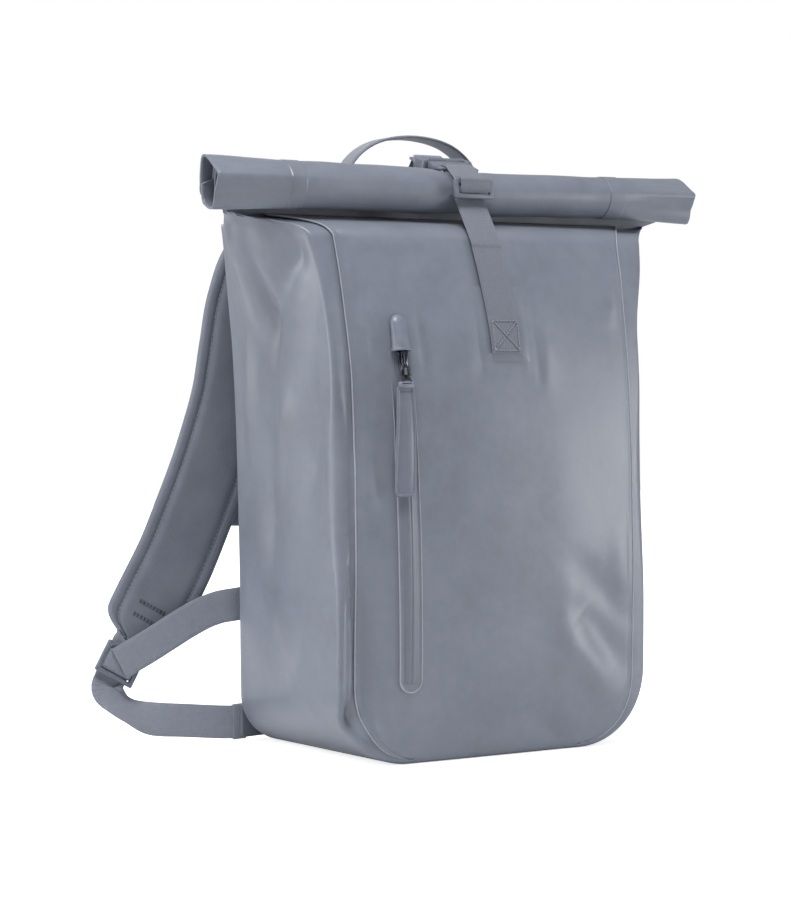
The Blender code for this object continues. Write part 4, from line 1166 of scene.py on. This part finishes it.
def make_pull_tab():
    """A flat coated tab with a raised welded rim and a plain sunk face."""
    top, length, width = 0.2765, 0.0790, 0.0128

    def point(share, part):
        foot = min(1.0, share * length / 0.0035)
        half = width / 2 * (0.72 + 0.28 * foot)
        across = half * (2 * part - 1)
        inside = min(half - abs(across), share * length, (1 - share) * length)
        rim = 0.0007 * eased(inside / 0.0006) * (1 - eased((inside - 0.0014) / 0.0008))
        pad = 0.0002 * eased((inside - 0.0022) / 0.002)
        swing = -0.0002 - 0.0048 * (1 - share)
        curl = 0.0014 * sin(pi * share) + 0.0009 * (1 - share)
        return on_zip(across + swing, top - length * (1 - share), 0.0056 + curl + rim + pad)

    sheet_piece("pull_tab_cloth", "pull_tab", grid(120, 26, point), 0.0018, TAB, "pull_cloth")


# The front strap and the hardware on the roll

def strap_x(height):
    return STRAP_X + STRAP_DRIFT * eased((height - STRAP_FOOT) / (ROLL_Z - STRAP_FOOT))


BUCKLE_WALL = 0.010
BUCKLE_LENGTH = 0.052
BAR_WALL = 0.0022
BAR_LOOP = BAR_WALL / 2 + WEB_WALL / 2 + 0.0004
BUCKLE_TILT = 14 * pi / 180
BUCKLE_CENTRE = Vector((STRAP_X + STRAP_DRIFT, ROLL_Y + 0.018,
                        ROLL_Z + ROLL_RADIUS + 0.0003 + BUCKLE_WALL / 2))
GLIDE_TURN = 2 * pi / 180
GLIDE_REACH = ROLL_RADIUS * 1.02 + 2 * WEB_WALL + 0.0018 + 0.0017
GLIDE_CENTRE = (ROLL_Y - GLIDE_REACH * cos(GLIDE_TURN) - 0.0004, ROLL_Z + GLIDE_REACH * sin(GLIDE_TURN))


def on_buckle(along):
    """A point of the buckle's middle line, along it from its middle; its front leans down the roll."""
    return BUCKLE_CENTRE + Vector((0, along * cos(BUCKLE_TILT), along * sin(BUCKLE_TILT) - 0.0021))


def lean_with_roll(piece):
    """Turns a piece made about the buckle's middle to the roll's lean and puts it in its place."""
    piece.data.transform(Matrix.Translation(on_buckle(0)) @ Matrix.Rotation(BUCKLE_TILT, 4, "X"))


def round_bar(bar, turns):
    return [bar + Vector((0, cos(turn * pi / 180), sin(turn * pi / 180))) * BAR_LOOP for turn in turns]


def webbing(name, centres, sides, *nodes, width=WEB_WIDTH, wall=WEB_WALL, paint=WEBBING):
    """Woven strap through the centres; sides is one direction across it, or a list of them."""
    if isinstance(sides, Vector):
        sides = [sides] * len(centres)
    dress(band(name, centres, sides, width, strap_section(wall)), paint, "webbing", *nodes)


def roll_front_reach(degrees, clear):
    place = roll_place(degrees / 360, STRAP_X + STRAP_DRIFT)
    away = Vector((0, place.y - ROLL_Y, place.z - ROLL_Z))
    return place + away.normalized() * clear


def make_front_strap():
    path = []
    for i in range(15):
        height = STRAP_FOOT + (SHOULDER_HEIGHT - 0.002 - STRAP_FOOT) * i / 14
        path.append(on_front(strap_x(height), height, WEB_WALL / 2 + 0.0032))
    path += [roll_front_reach(degrees, ROLL_WALL / 2 + WEB_WALL / 2 + 0.0005)
             for degrees in (186, 176, 166, 156, 146, 136, 127)]
    path += round_bar(on_buckle(-BUCKLE_LENGTH / 2 + BAR_WALL / 2), (-105, -70, -30, 10, 50, 90, 120))
    path += [roll_front_reach(degrees, ROLL_WALL / 2 + 1.5 * WEB_WALL + 0.0014 + 0.0001 * (degrees - 136))
             for degrees in (136, 145, 154)]
    # the outer layer lies over the glide's upper bars and goes down through its lower slot
    path += [Vector((0, GLIDE_CENTRE[0] - out, GLIDE_CENTRE[1] + up)) for out, up in
             ((0.0023, 0.0078), (0.0029, 0.0045), (0.0030, 0.0005), (0.0024, -0.0017), (0.0004, -0.0026))]
    centres = even_path([(strap_x(p.z), p.y, p.z) for p in path], 190)
    # the front strap wears the darker copy of the webbing: painted shade
    webbing("front_strap_webbing", centres, Vector((1, 0, 0)), "front_strap", paint=WEBBING_PAINTED_SHADE)


def make_strap_patch():
    """The welded patch under the strap's foot, and the box of stitching through both."""
    low, high, half = STRAP_FOOT - 0.007, STRAP_FOOT + 0.053, 0.0235

    def point(share, part):
        height = low + (high - low) * share
        across = half * (2 * part - 1)
        inside = min(half - abs(across), height - low, high - height)
        return on_front(STRAP_X + across, height, 0.0010 + 0.0013 * eased(inside / 0.0080))

    def run(x0, z0, x1, z1, count=14):
        places = [(x0 + (x1 - x0) * i / count, z0 + (z1 - z0) * i / count) for i in range(count + 1)]
        return [(on_front(x, z, 0.0034 + WEB_WALL), front_normal(x, z)) for x, z in places]

    sheet_piece("strap_patch_cloth", "strap_patch", grid(60, 40, point), 0.0008, COATED, "coated_cloth")
    left, right = STRAP_X - 0.0108, STRAP_X + 0.0108
    foot, head = STRAP_FOOT + 0.0022, STRAP_FOOT + 0.0240
    runs = [run(left, foot, right, foot), run(left, head, right, head), run(left, foot, left, head),
            run(right, foot, right, head), run(left, foot, right, head), run(left, head, right, foot)]
    for step in range(22):
        x = left + (right - left) * step / 21
        runs.append(run(x, head + 0.0008, x + 0.0006, head + 0.0034, 4))
    stitches("front_strap_stitching", runs, 0.0028, THREAD_PAINT, "webbing")


def make_rear_strap():
    path = []
    for share in (0.765, 0.84, 0.905, 0.93, 0.955):
        height = share * SHOULDER_HEIGHT
        place = lifted(Vector((0, back_edge_y(height), height)))
        path.append(place + Vector((0, WEB_WALL / 2 + 0.0009, 0)))
    path += [Vector((0, back * HALF_DEPTH, SHOULDER_HEIGHT + up)) for back, up in
             ((1 - 0.0035 / HALF_DEPTH, 0.008), (0.77, 0.0215), (0.53, 0.038))]
    path += round_bar(on_buckle(BUCKLE_LENGTH / 2 - BAR_WALL / 2), (-40, -75, -110, -145, 180, 145, 110))
    centres = even_path([(BUCKLE_CENTRE.x, p.y, p.z) for p in path], 130)
    webbing("rear_strap_webbing", centres, Vector((-1, 0, 0)), "rear_strap")


FRAME_SIDES = 2 * 0.0036
HARDWARE_WIDTH = WEB_WIDTH + FRAME_SIDES + 2 * 0.0006
CUT_THROUGH = 0.03


def make_buckle():
    """A side-release buckle, fastened: the socket behind, and the prongs' grips out of its sides."""
    half = BUCKLE_LENGTH / 2
    insert_length = 0.42 * BUCKLE_LENGTH
    body_length = BUCKLE_LENGTH - insert_length - 0.0003
    slot = 0.0052
    window = (HARDWARE_WIDTH - FRAME_SIDES, slot, CUT_THROUGH)
    body = hard_piece("buckle_socket", (HARDWARE_WIDTH, body_length, BUCKLE_WALL), 0.0024, 4)
    for vertex in body.data.vertices:
        back = eased((vertex.co.y + body_length / 2) / body_length)
        vertex.co.z *= 1 - 0.76 * eased((vertex.co.y + 0.004) / (body_length / 2))
        vertex.co.x *= 1 - 0.05 * back
    cut_away(body, window, (0, body_length / 2 - BAR_WALL - slot / 2, 0))
    for side in (-1, 1):
        cut_away(body, (0.0030, 0.013, 0.0062), (side * HARDWARE_WIDTH * 0.5, -body_length * 0.16, 0))
    cut_away(body, (HARDWARE_WIDTH * 0.62, 0.0012, 0.0010), (0, -body_length * 0.30, BUCKLE_WALL / 2))
    soften(body, 0.00035)
    body.data.transform(Matrix.Translation(Vector((0, half - body_length / 2, 0))))
    lean_with_roll(body)
    dress_hard(body, PLASTIC, "moulded_plastic", "buckle_body")
    insert = hard_piece("buckle_prongs", (HARDWARE_WIDTH + 0.002, insert_length, 0.0046), 0.0014)
    for vertex in insert.data.vertices:
        nose = eased((vertex.co.y + insert_length / 2) / insert_length)
        vertex.co.z *= 0.48 + 0.85 * nose
        vertex.co.x *= 0.95 + 0.07 * nose
    cut_away(insert, window, (0, -insert_length / 2 + BAR_WALL + slot / 2, 0))
    for side in (-1, 1):
        for rib in range(4):
            cut_away(insert, (0.0016, 0.0007, CUT_THROUGH),
                     (side * (HARDWARE_WIDTH / 2 + 0.0012), insert_length * (0.10 + 0.10 * rib), 0))
    soften(insert, 0.0003)
    insert.data.transform(Matrix.Translation(Vector((0, insert_length / 2 - half, 0))))
    lean_with_roll(insert)
    dress_hard(insert, PLASTIC, "moulded_plastic", "buckle_insert")
    grips = []
    for side in (-1, 1):
        grip = hard_piece(f"grip_{side}", (0.0052, 0.0170, 0.0088), 0.0018)
        for vertex in grip.data.vertices:
            vertex.co.x += side * 0.0012 * (1 - (vertex.co.y / 0.0085) ** 2)
        for rib in range(5):
            cut_away(grip, (0.0014, 0.0008, 0.0062), (side * 0.0036, -0.0046 + 0.0023 * rib, 0))
        grip.data.transform(Matrix.Translation((side * (HARDWARE_WIDTH / 2 + 0.0016), 0.0005, -0.0002)))
        lean_with_roll(grip)
        grips.append(grip)
    dress_hard(join("buckle_side_grips", grips), PLASTIC, "moulded_plastic")


def slotted_plate(name, length, wall, opening):
    """A flat moulded frame with two slots across it and a bar between; opening is a slot's share of
    the room between the end bars."""
    room = length - FRAME_SIDES
    plate = hard_piece(name, (HARDWARE_WIDTH, length, wall), wall * 0.34)
    for way in (-1, 1):
        cut_away(plate, (HARDWARE_WIDTH - FRAME_SIDES, room * opening, CUT_THROUGH),
                 (0, way * room * (1 - opening) / 2, 0))
    soften(plate, 0.0004)
    return plate


def over_bar(name, centre, across, along, out, opening):
    """The webbing as it comes up through one slot, over the middle bar and down the other."""
    turns = [pi * step / 8 for step in range(9)]
    points = [centre - along * (opening / 2 - 0.0010) * cos(turn)
              + out * (0.0031 * max(sin(turn), 0.0) ** 0.7 - 0.0012) for turn in turns]
    webbing(name, even_path(points, 40), across, wall=WEB_WALL * 0.8)


def make_tri_glide():
    y, z = GLIDE_CENTRE
    plate = slotted_plate("tri_glide_frame", 0.015, 0.0034, 0.32)
    plate.data.transform(Matrix.Translation((strap_x(z), y, z)) @ Matrix.Rotation(pi / 2 - 0.06, 4, "X"))
    dress_hard(plate, PLASTIC, "moulded_plastic", "tri_glide")


def make_handle():
    half = 0.0715
    top = 0.4745
    centre_y = 0.050
    edge = HALF_DEPTH - 0.048 * BAG_DEPTH
    share = (edge - centre_y) / (edge - NECK_BACK)
    base = lifted(Vector((0, edge, SHOULDER_HEIGHT))).z
    foot = base + (NECK_HEIGHT - base) * read_table(ROOF, share)[0] + 0.0026
    rise = top - 0.0010 - foot
    arch = ((1.26, 0.00), (1.12, 0.00), (1.01, 0.07), (0.95, 0.25), (0.86, 0.50), (0.68, 0.77), (0.40, 0.94),
            (0.00, 1.00))
    shape = [(-out, up) for out, up in arch] + [(out, up) for out, up in reversed(arch[:-1])]
    points = [(half * out - 0.0030, centre_y - 0.004 * up, foot + rise * up) for out, up in shape]
    centres = even_path(points, 150)
    sides = [Vector((0, 1, -0.22 * (1 - eased((c.z - foot) / 0.03)))) for c in centres]
    # the handle wears the darker copy of the webbing: painted shade
    webbing("carry_handle_webbing", centres, sides, "carry_handle", width=WEB_WIDTH * 0.85,
            wall=WEB_WALL * 1.35, paint=WEBBING_PAINTED_SHADE)
    runs = []
    for side in (-1, 1):
        for row_y in (-0.007, -0.0035, 0.0, 0.0035, 0.007):
            y = centre_y + row_y
            runs.append([(Vector((side * x, y, foot + 0.0013 - 0.22 * row_y)), Vector((0, 0.2, 1)))
                         for x in (0.0830, 0.0850, 0.0870, 0.0885)])
    stitches("handle_stitching", runs, 0.0028, THREAD_PAINT, "webbing")


# The shoulder straps

PAD_WALL = 0.0098
PAD_SEAM = 0.355


def face_of(side):
    return Vector((side * 0.26, -0.966, 0))


def lock_centre(side):
    return Vector((side * 1.061 * PAD_REACH, 0.622 * BAG_DEPTH, LOCK_HEIGHT))


def lock_reach(side):
    half = LOCK_LENGTH / 2
    return Vector((-side * half * sin(LOCK_TILT), 0, half * cos(LOCK_TILT)))


def lock_edge(side):
    return Vector((cos(LOCK_TILT), 0, side * sin(LOCK_TILT)))


def square_to_lock(sides, side, count):
    edge = lock_edge(side)
    for i in range(1, count + 1):
        goal = edge if sides[-i].dot(edge) > 0 else -edge
        sides[-i] = sides[-i].lerp(goal, 1 - (i - 1) / count)


def pad_section(wall, rim_share):
    """The pad's outline: a full bound rim, a sewn groove inside it, and a soft crowned middle."""
    top = []
    for j in range(37):
        share = j / 36 - 0.5
        inside = 0.5 - abs(share)
        rim = sqrt(max(1 - (1 - min(inside / 0.055, 1.0)) ** 2, 0.0)) * wall * 0.36
        groove = exp(-((inside - rim_share) / 0.018) ** 2)
        crown = wall * 0.13 * eased((inside - rim_share) / 0.10) * (1 - (share / 0.5) ** 2 * 0.4)
        top.append((share, max(rim + crown - groove * wall * 0.16, 0.0002)))
    return both_faces(top)


def make_pad(side, word):
    dense = smooth_path([(side * out * PAD_REACH, back * BAG_DEPTH, up * PAD_TOP, width * PAD_WIDTH)
                         for out, back, up, width in PAD_ROUTE], 150)
    centres = [p.xyz for p in dense]
    far = lengths_along(centres)
    widths = []
    for p, gone in zip(dense, far):
        round_end = sqrt(max(1 - (1 - min((far[-1] - gone) / 0.020, 1.0)) ** 2, 0.02))
        round_top = sqrt(max(1 - (1 - min(gone / 0.012, 1.0)) ** 2, 0.10))
        widths.append(p.w * max(round_end, 0.35) * round_top)
    sides = crosswise(centres, face_of(side))
    pad = band(f"shoulder_pad_{word}_foam", centres, sides, widths, pad_section(PAD_WALL, 0.145))
    for vertex in pad.data.vertices:
        vertex.co.y += ripple(*vertex.co, 0.03, 0.0005)
    dress(pad, PAD, "pad_cloth", f"shoulder_pad_{word}")

    def on_pad(i, across, face, along, proud):
        """A place on the pad off its middle line, and the way out of the cloth there."""
        ahead, out = ahead_and_out(centres, sides, i)
        return centres[i] + sides[i] * across + ahead * along + out * face * proud, out * face

    rim = PAD_WALL * 0.36
    runs = [[on_pad(i, across * widths[i], face, 0.0, rim - 0.0012) for i in range(6, len(centres) - 9)]
            for across in (-PAD_SEAM, PAD_SEAM) for face in (-1, 1)]
    end = len(centres) - 10
    turns = [pi * j / 12 for j in range(13)]
    runs += [[on_pad(end, PAD_SEAM * cos(turn) * widths[end], face, 0.0095 * sin(turn), rim - 0.0006)
              for turn in turns] for face in (-1, 1)]
    # bar tacks through the pad that hold the webbing loop behind it
    tacks = []
    for i in (len(centres) - 24, len(centres) - 19):
        face = -1 if ahead_and_out(centres, sides, i)[1].y > 0 else 1
        tacks += [[on_pad(i, 0.012 * (j / 4 - 1), face, row, PAD_WALL * 0.485) for j in range(9)]
                  for row in (-0.0011, 0.0, 0.0011)]
    stitches(f"shoulder_pad_{word}_tacks", tacks, 0.0029, DARK_THREAD, "pad_cloth")
    stitches(f"shoulder_pad_{word}_stitching", runs, 0.0036, THREAD_PAINT, "pad_cloth")


def make_lock(side, word):
    plate = slotted_plate(f"ladder_lock_{word}_frame", LOCK_LENGTH, 0.0036, 0.3)
    for vertex in plate.data.vertices:
        vertex.co.z += 0.0012 * eased((-vertex.co.y - LOCK_LENGTH * 0.28) / (LOCK_LENGTH * 0.2))
    plate.data.transform(Matrix.Translation(lock_centre(side)) @ Matrix.Rotation(-side * LOCK_TILT, 4, "Y")
                         @ Matrix.Rotation(pi / 2, 4, "X"))
    dress_hard(plate, PLASTIC, "moulded_plastic", f"ladder_lock_{word}")
    over_bar(f"ladder_lock_{word}_webbing", lock_centre(side), lock_edge(side), lock_reach(side).normalized(),
             Vector((0, -1, 0)), LOCK_LENGTH - FRAME_SIDES)


def make_pad_loop(side, word):
    earlier, pad_end = [Vector((side * out * PAD_REACH, back * BAG_DEPTH, up * PAD_TOP))
                        for out, back, up, _ in (PAD_ROUTE[-3], PAD_ROUTE[-1])]
    away = Vector((0, 0.0045 + WEB_WALL / 2 + 0.0006, 0))
    along = lock_reach(side).normalized()
    foot = lock_centre(side) + lock_reach(side) + along * 0.0006
    behind = Vector((0, 0.0030, 0))
    centres = even_path([earlier.lerp(pad_end, 0.35) + away, earlier.lerp(pad_end, 0.75) + away,
                         foot + along * 0.10 * WEB_WIDTH + Vector((0, 0.0040, 0)), foot + behind,
                         foot - along * 0.45 * LOCK_LENGTH + behind], 60)
    sides = crosswise(centres, face_of(side) * side * -1)
    square_to_lock(sides, side, 14)
    webbing(f"pad_loop_{word}_webbing", centres, sides, f"pad_loop_{word}", width=WEB_WIDTH * 0.96)
    runs = []
    for i in (6, 10, 20):
        _, out = ahead_and_out(centres, sides, i)
        out = -out if out.y < 0 else out
        across = sides[i].normalized() * WEB_WIDTH * 0.9
        runs.append([(centres[i] + across * (j / 8 - 0.5) + out * (WEB_WALL / 2 + 0.0002), out)
                     for j in range(9)])
    stitches(f"pad_loop_{word}_stitching", runs, 0.0026, THREAD_PAINT, "webbing")


def make_lower_webbing(side, word):
    along = lock_reach(side).normalized()
    foot = lock_centre(side) - lock_reach(side) - along * 0.0006
    behind = Vector((0, 0.0034, 0))
    centres = even_path([(side * out * HALF_WIDTH, back * HALF_DEPTH, up * LOWER_HEIGHT)
                         for out, back, up in LOWER_ROUTE]
                        + [foot - along * 0.3 * WEB_WIDTH, foot + behind,
                           foot + along * 0.5 * LOCK_LENGTH + behind], 150)
    sides = crosswise(centres, face_of(side) * side * -1)
    # the strap turns on edge as it comes up to the lock
    for i in range(len(centres)):
        turn = 0.85 * exp(-((i / 149 - 0.74) / 0.13) ** 2)
        sides[i] = Matrix.Rotation(-side * turn, 3, step_ahead(centres, i).normalized()) @ sides[i]
    square_to_lock(sides, side, 22)
    webbing(f"lower_strap_{word}_webbing", centres, sides, f"lower_strap_{word}")
    folded = [i for i, c in enumerate(centres) if 0.1290 < abs(c.x) < 0.1400 and i < 75]
    webbing(f"lower_strap_{word}_fold", [centres[i] for i in folded], [sides[i] for i in folded],
            width=WEB_WIDTH * 1.07, wall=WEB_WALL * 2.8)
    centres = even_path([(side * out * PAD_REACH, back * HALF_DEPTH, up * TAIL_HEIGHT)
                         for out, back, up in TAIL_ROUTE], 120)
    webbing(f"strap_tail_{word}_webbing", centres, crosswise(centres, Vector((0.1, -side, 0))),
            f"strap_tail_{word}")


def make_anchor_tab(side, word):
    """A sewn gusset of coated cloth that carries the lower strap on the back corner."""
    tip = LOWER_HEIGHT * 0.60 + WEB_WIDTH * 0.5
    inner, outer = HALF_WIDTH - 1.4 * BACK_CORNER, HALF_WIDTH - 0.1 * BACK_CORNER
    foot = LOWER_HEIGHT * 0.60 - WEB_WIDTH * 0.45

    def point(up, part):
        share = part if side > 0 else 1 - part
        bottom = foot + (0.07 * BACK_CORNER + LOWER_HEIGHT * 0.1 - foot) * share
        top = tip + 0.6 * WEB_WIDTH * share
        edge = min(share, 1 - share, up, 1 - up)
        return Vector((side * (outer + (inner - outer) * share),
                       HALF_DEPTH + 0.0015 + 0.0004 * eased(edge / 0.12), bottom + (top - bottom) * up))

    dress(cloth(f"anchor_tab_{word}_cloth", grid(16, 24, point), 0.0014), COATED, "coated_cloth",
          f"anchor_tab_{word}")


def make_chest_strap():
    inner, outer = 0.0136, 0.66 * PAD_REACH
    y = 0.720 * BAG_DEPTH + 0.24 * 0.009 + WEB_WALL / 2 + 0.0009
    for side, word in ((-1, "left"), (1, "right")):
        centres = even_path([(side * outer, y, CHEST_HEIGHT),
                             (side * 0.5 * (outer + inner), y - 0.0003, CHEST_HEIGHT - 0.002),
                             (side * inner, y, CHEST_HEIGHT - 0.003)], 70)
        webbing(f"chest_strap_{word}_webbing", centres, Vector((0, 0, side)), f"chest_strap_{word}",
                width=0.020)
    clasp = hard_piece("chest_clasp_moulding", (0.026, 0.0054, 0.024), 0.0020, 4)
    cut_away(clasp, (0.0010, 0.002, 0.018), (0, 0.0028, 0))
    for side in (-1, 1):
        cut_away(clasp, (0.0022, 0.0030, 0.010), (side * 0.0125, 0.0, 0))
    clasp.data.transform(Matrix.Translation((0, y, CHEST_HEIGHT - 0.003)))
    dress_hard(clasp, PLASTIC, "moulded_plastic", "chest_clasp")


# The studio

# The photograph's height and its fitted focal length in pixels, and the camera's sensor in mm
PHOTO_HEIGHT = 900
FOCAL_PIXELS = 2311.65
SENSOR = 36


def area_light(name, place, goal, size, power, colour):
    data = bpy.data.lights.new(name, "AREA")
    data.shape = "RECTANGLE"
    data.size, data.size_y = size
    data.energy = power
    data.color = colour
    lamp = bpy.data.objects.new(name, data)
    bpy.context.scene.collection.objects.link(lamp)
    lamp.location = place
    lamp.rotation_euler = (Vector(goal) - Vector(place)).to_track_quat("-Z", "Y").to_euler()


def make_studio():
    bpy.ops.object.select_all(action="DESELECT")
    bpy.ops.mesh.primitive_plane_add(size=6.0, location=(0, 0, 0))
    floor = bpy.context.active_object
    floor.name = "studio_floor"
    floor.data.transform(Matrix.Translation(Vector((0, 0, -0.0002))))
    floor.data.materials.append(studio_floor("matt_painted_board"))
    world = bpy.data.worlds.new("studio")
    world.use_nodes = True
    sky = world.node_tree.nodes["Background"]
    sky.inputs["Color"].default_value = linear("#ffffff")
    seen = add_node(world.node_tree, "ShaderNodeLightPath").outputs["Is Camera Ray"]
    plug(world.node_tree, sky, Strength=range_of(world.node_tree, seen, 0.0, 1.0, 0.30, 1.0))
    bpy.context.scene.world = world
    middle = (0, 0, 0.22)
    area_light("window_left", (-1.95, 0.50, 0.80), middle, (1.0, 1.5), 27, (1.0, 0.995, 0.985))
    area_light("front_right", (1.95, -1.40, 0.20), middle, (0.9, 0.8), 28, (0.985, 0.99, 1.0))
    area_light("top_soft", (-0.40, -0.50, 1.75), middle, (0.9, 0.6), 28, (1.0, 1.0, 1.0))
    area_light("back_soft", (0.30, 2.30, 1.10), middle, (1.2, 0.9), 20, (1.0, 1.0, 1.0))
    camera = bpy.data.cameras.new("camera")
    camera.lens = FOCAL_PIXELS / PHOTO_HEIGHT * SENSOR
    camera.sensor_width = SENSOR
    camera.sensor_fit = "AUTO"
    seat = bpy.data.objects.new("camera", camera)
    bpy.context.scene.collection.objects.link(seat)
    eye, goal = Vector((-0.9262, -1.5438, 0.2899)), Vector((-0.0415, 0.0, 0.2283))
    seat.location = eye
    seat.rotation_euler = (goal - eye).to_track_quat("-Z", "Y").to_euler()
    bpy.context.scene.camera = seat
    bpy.context.scene.view_settings.view_transform = "Standard"


def main():
    make_studio()
    make_front()
    make_gusset()
    make_back()
    make_roll()
    make_zip()
    make_strap_patch()
    make_front_strap()
    make_rear_strap()
    make_buckle()
    make_tri_glide()
    make_handle()
    for side, word in ((-1, "left"), (1, "right")):
        make_pad(side, word)
        make_lock(side, word)
        make_pad_loop(side, word)
        make_lower_webbing(side, word)
        make_anchor_tab(side, word)
    make_chest_strap()


main()
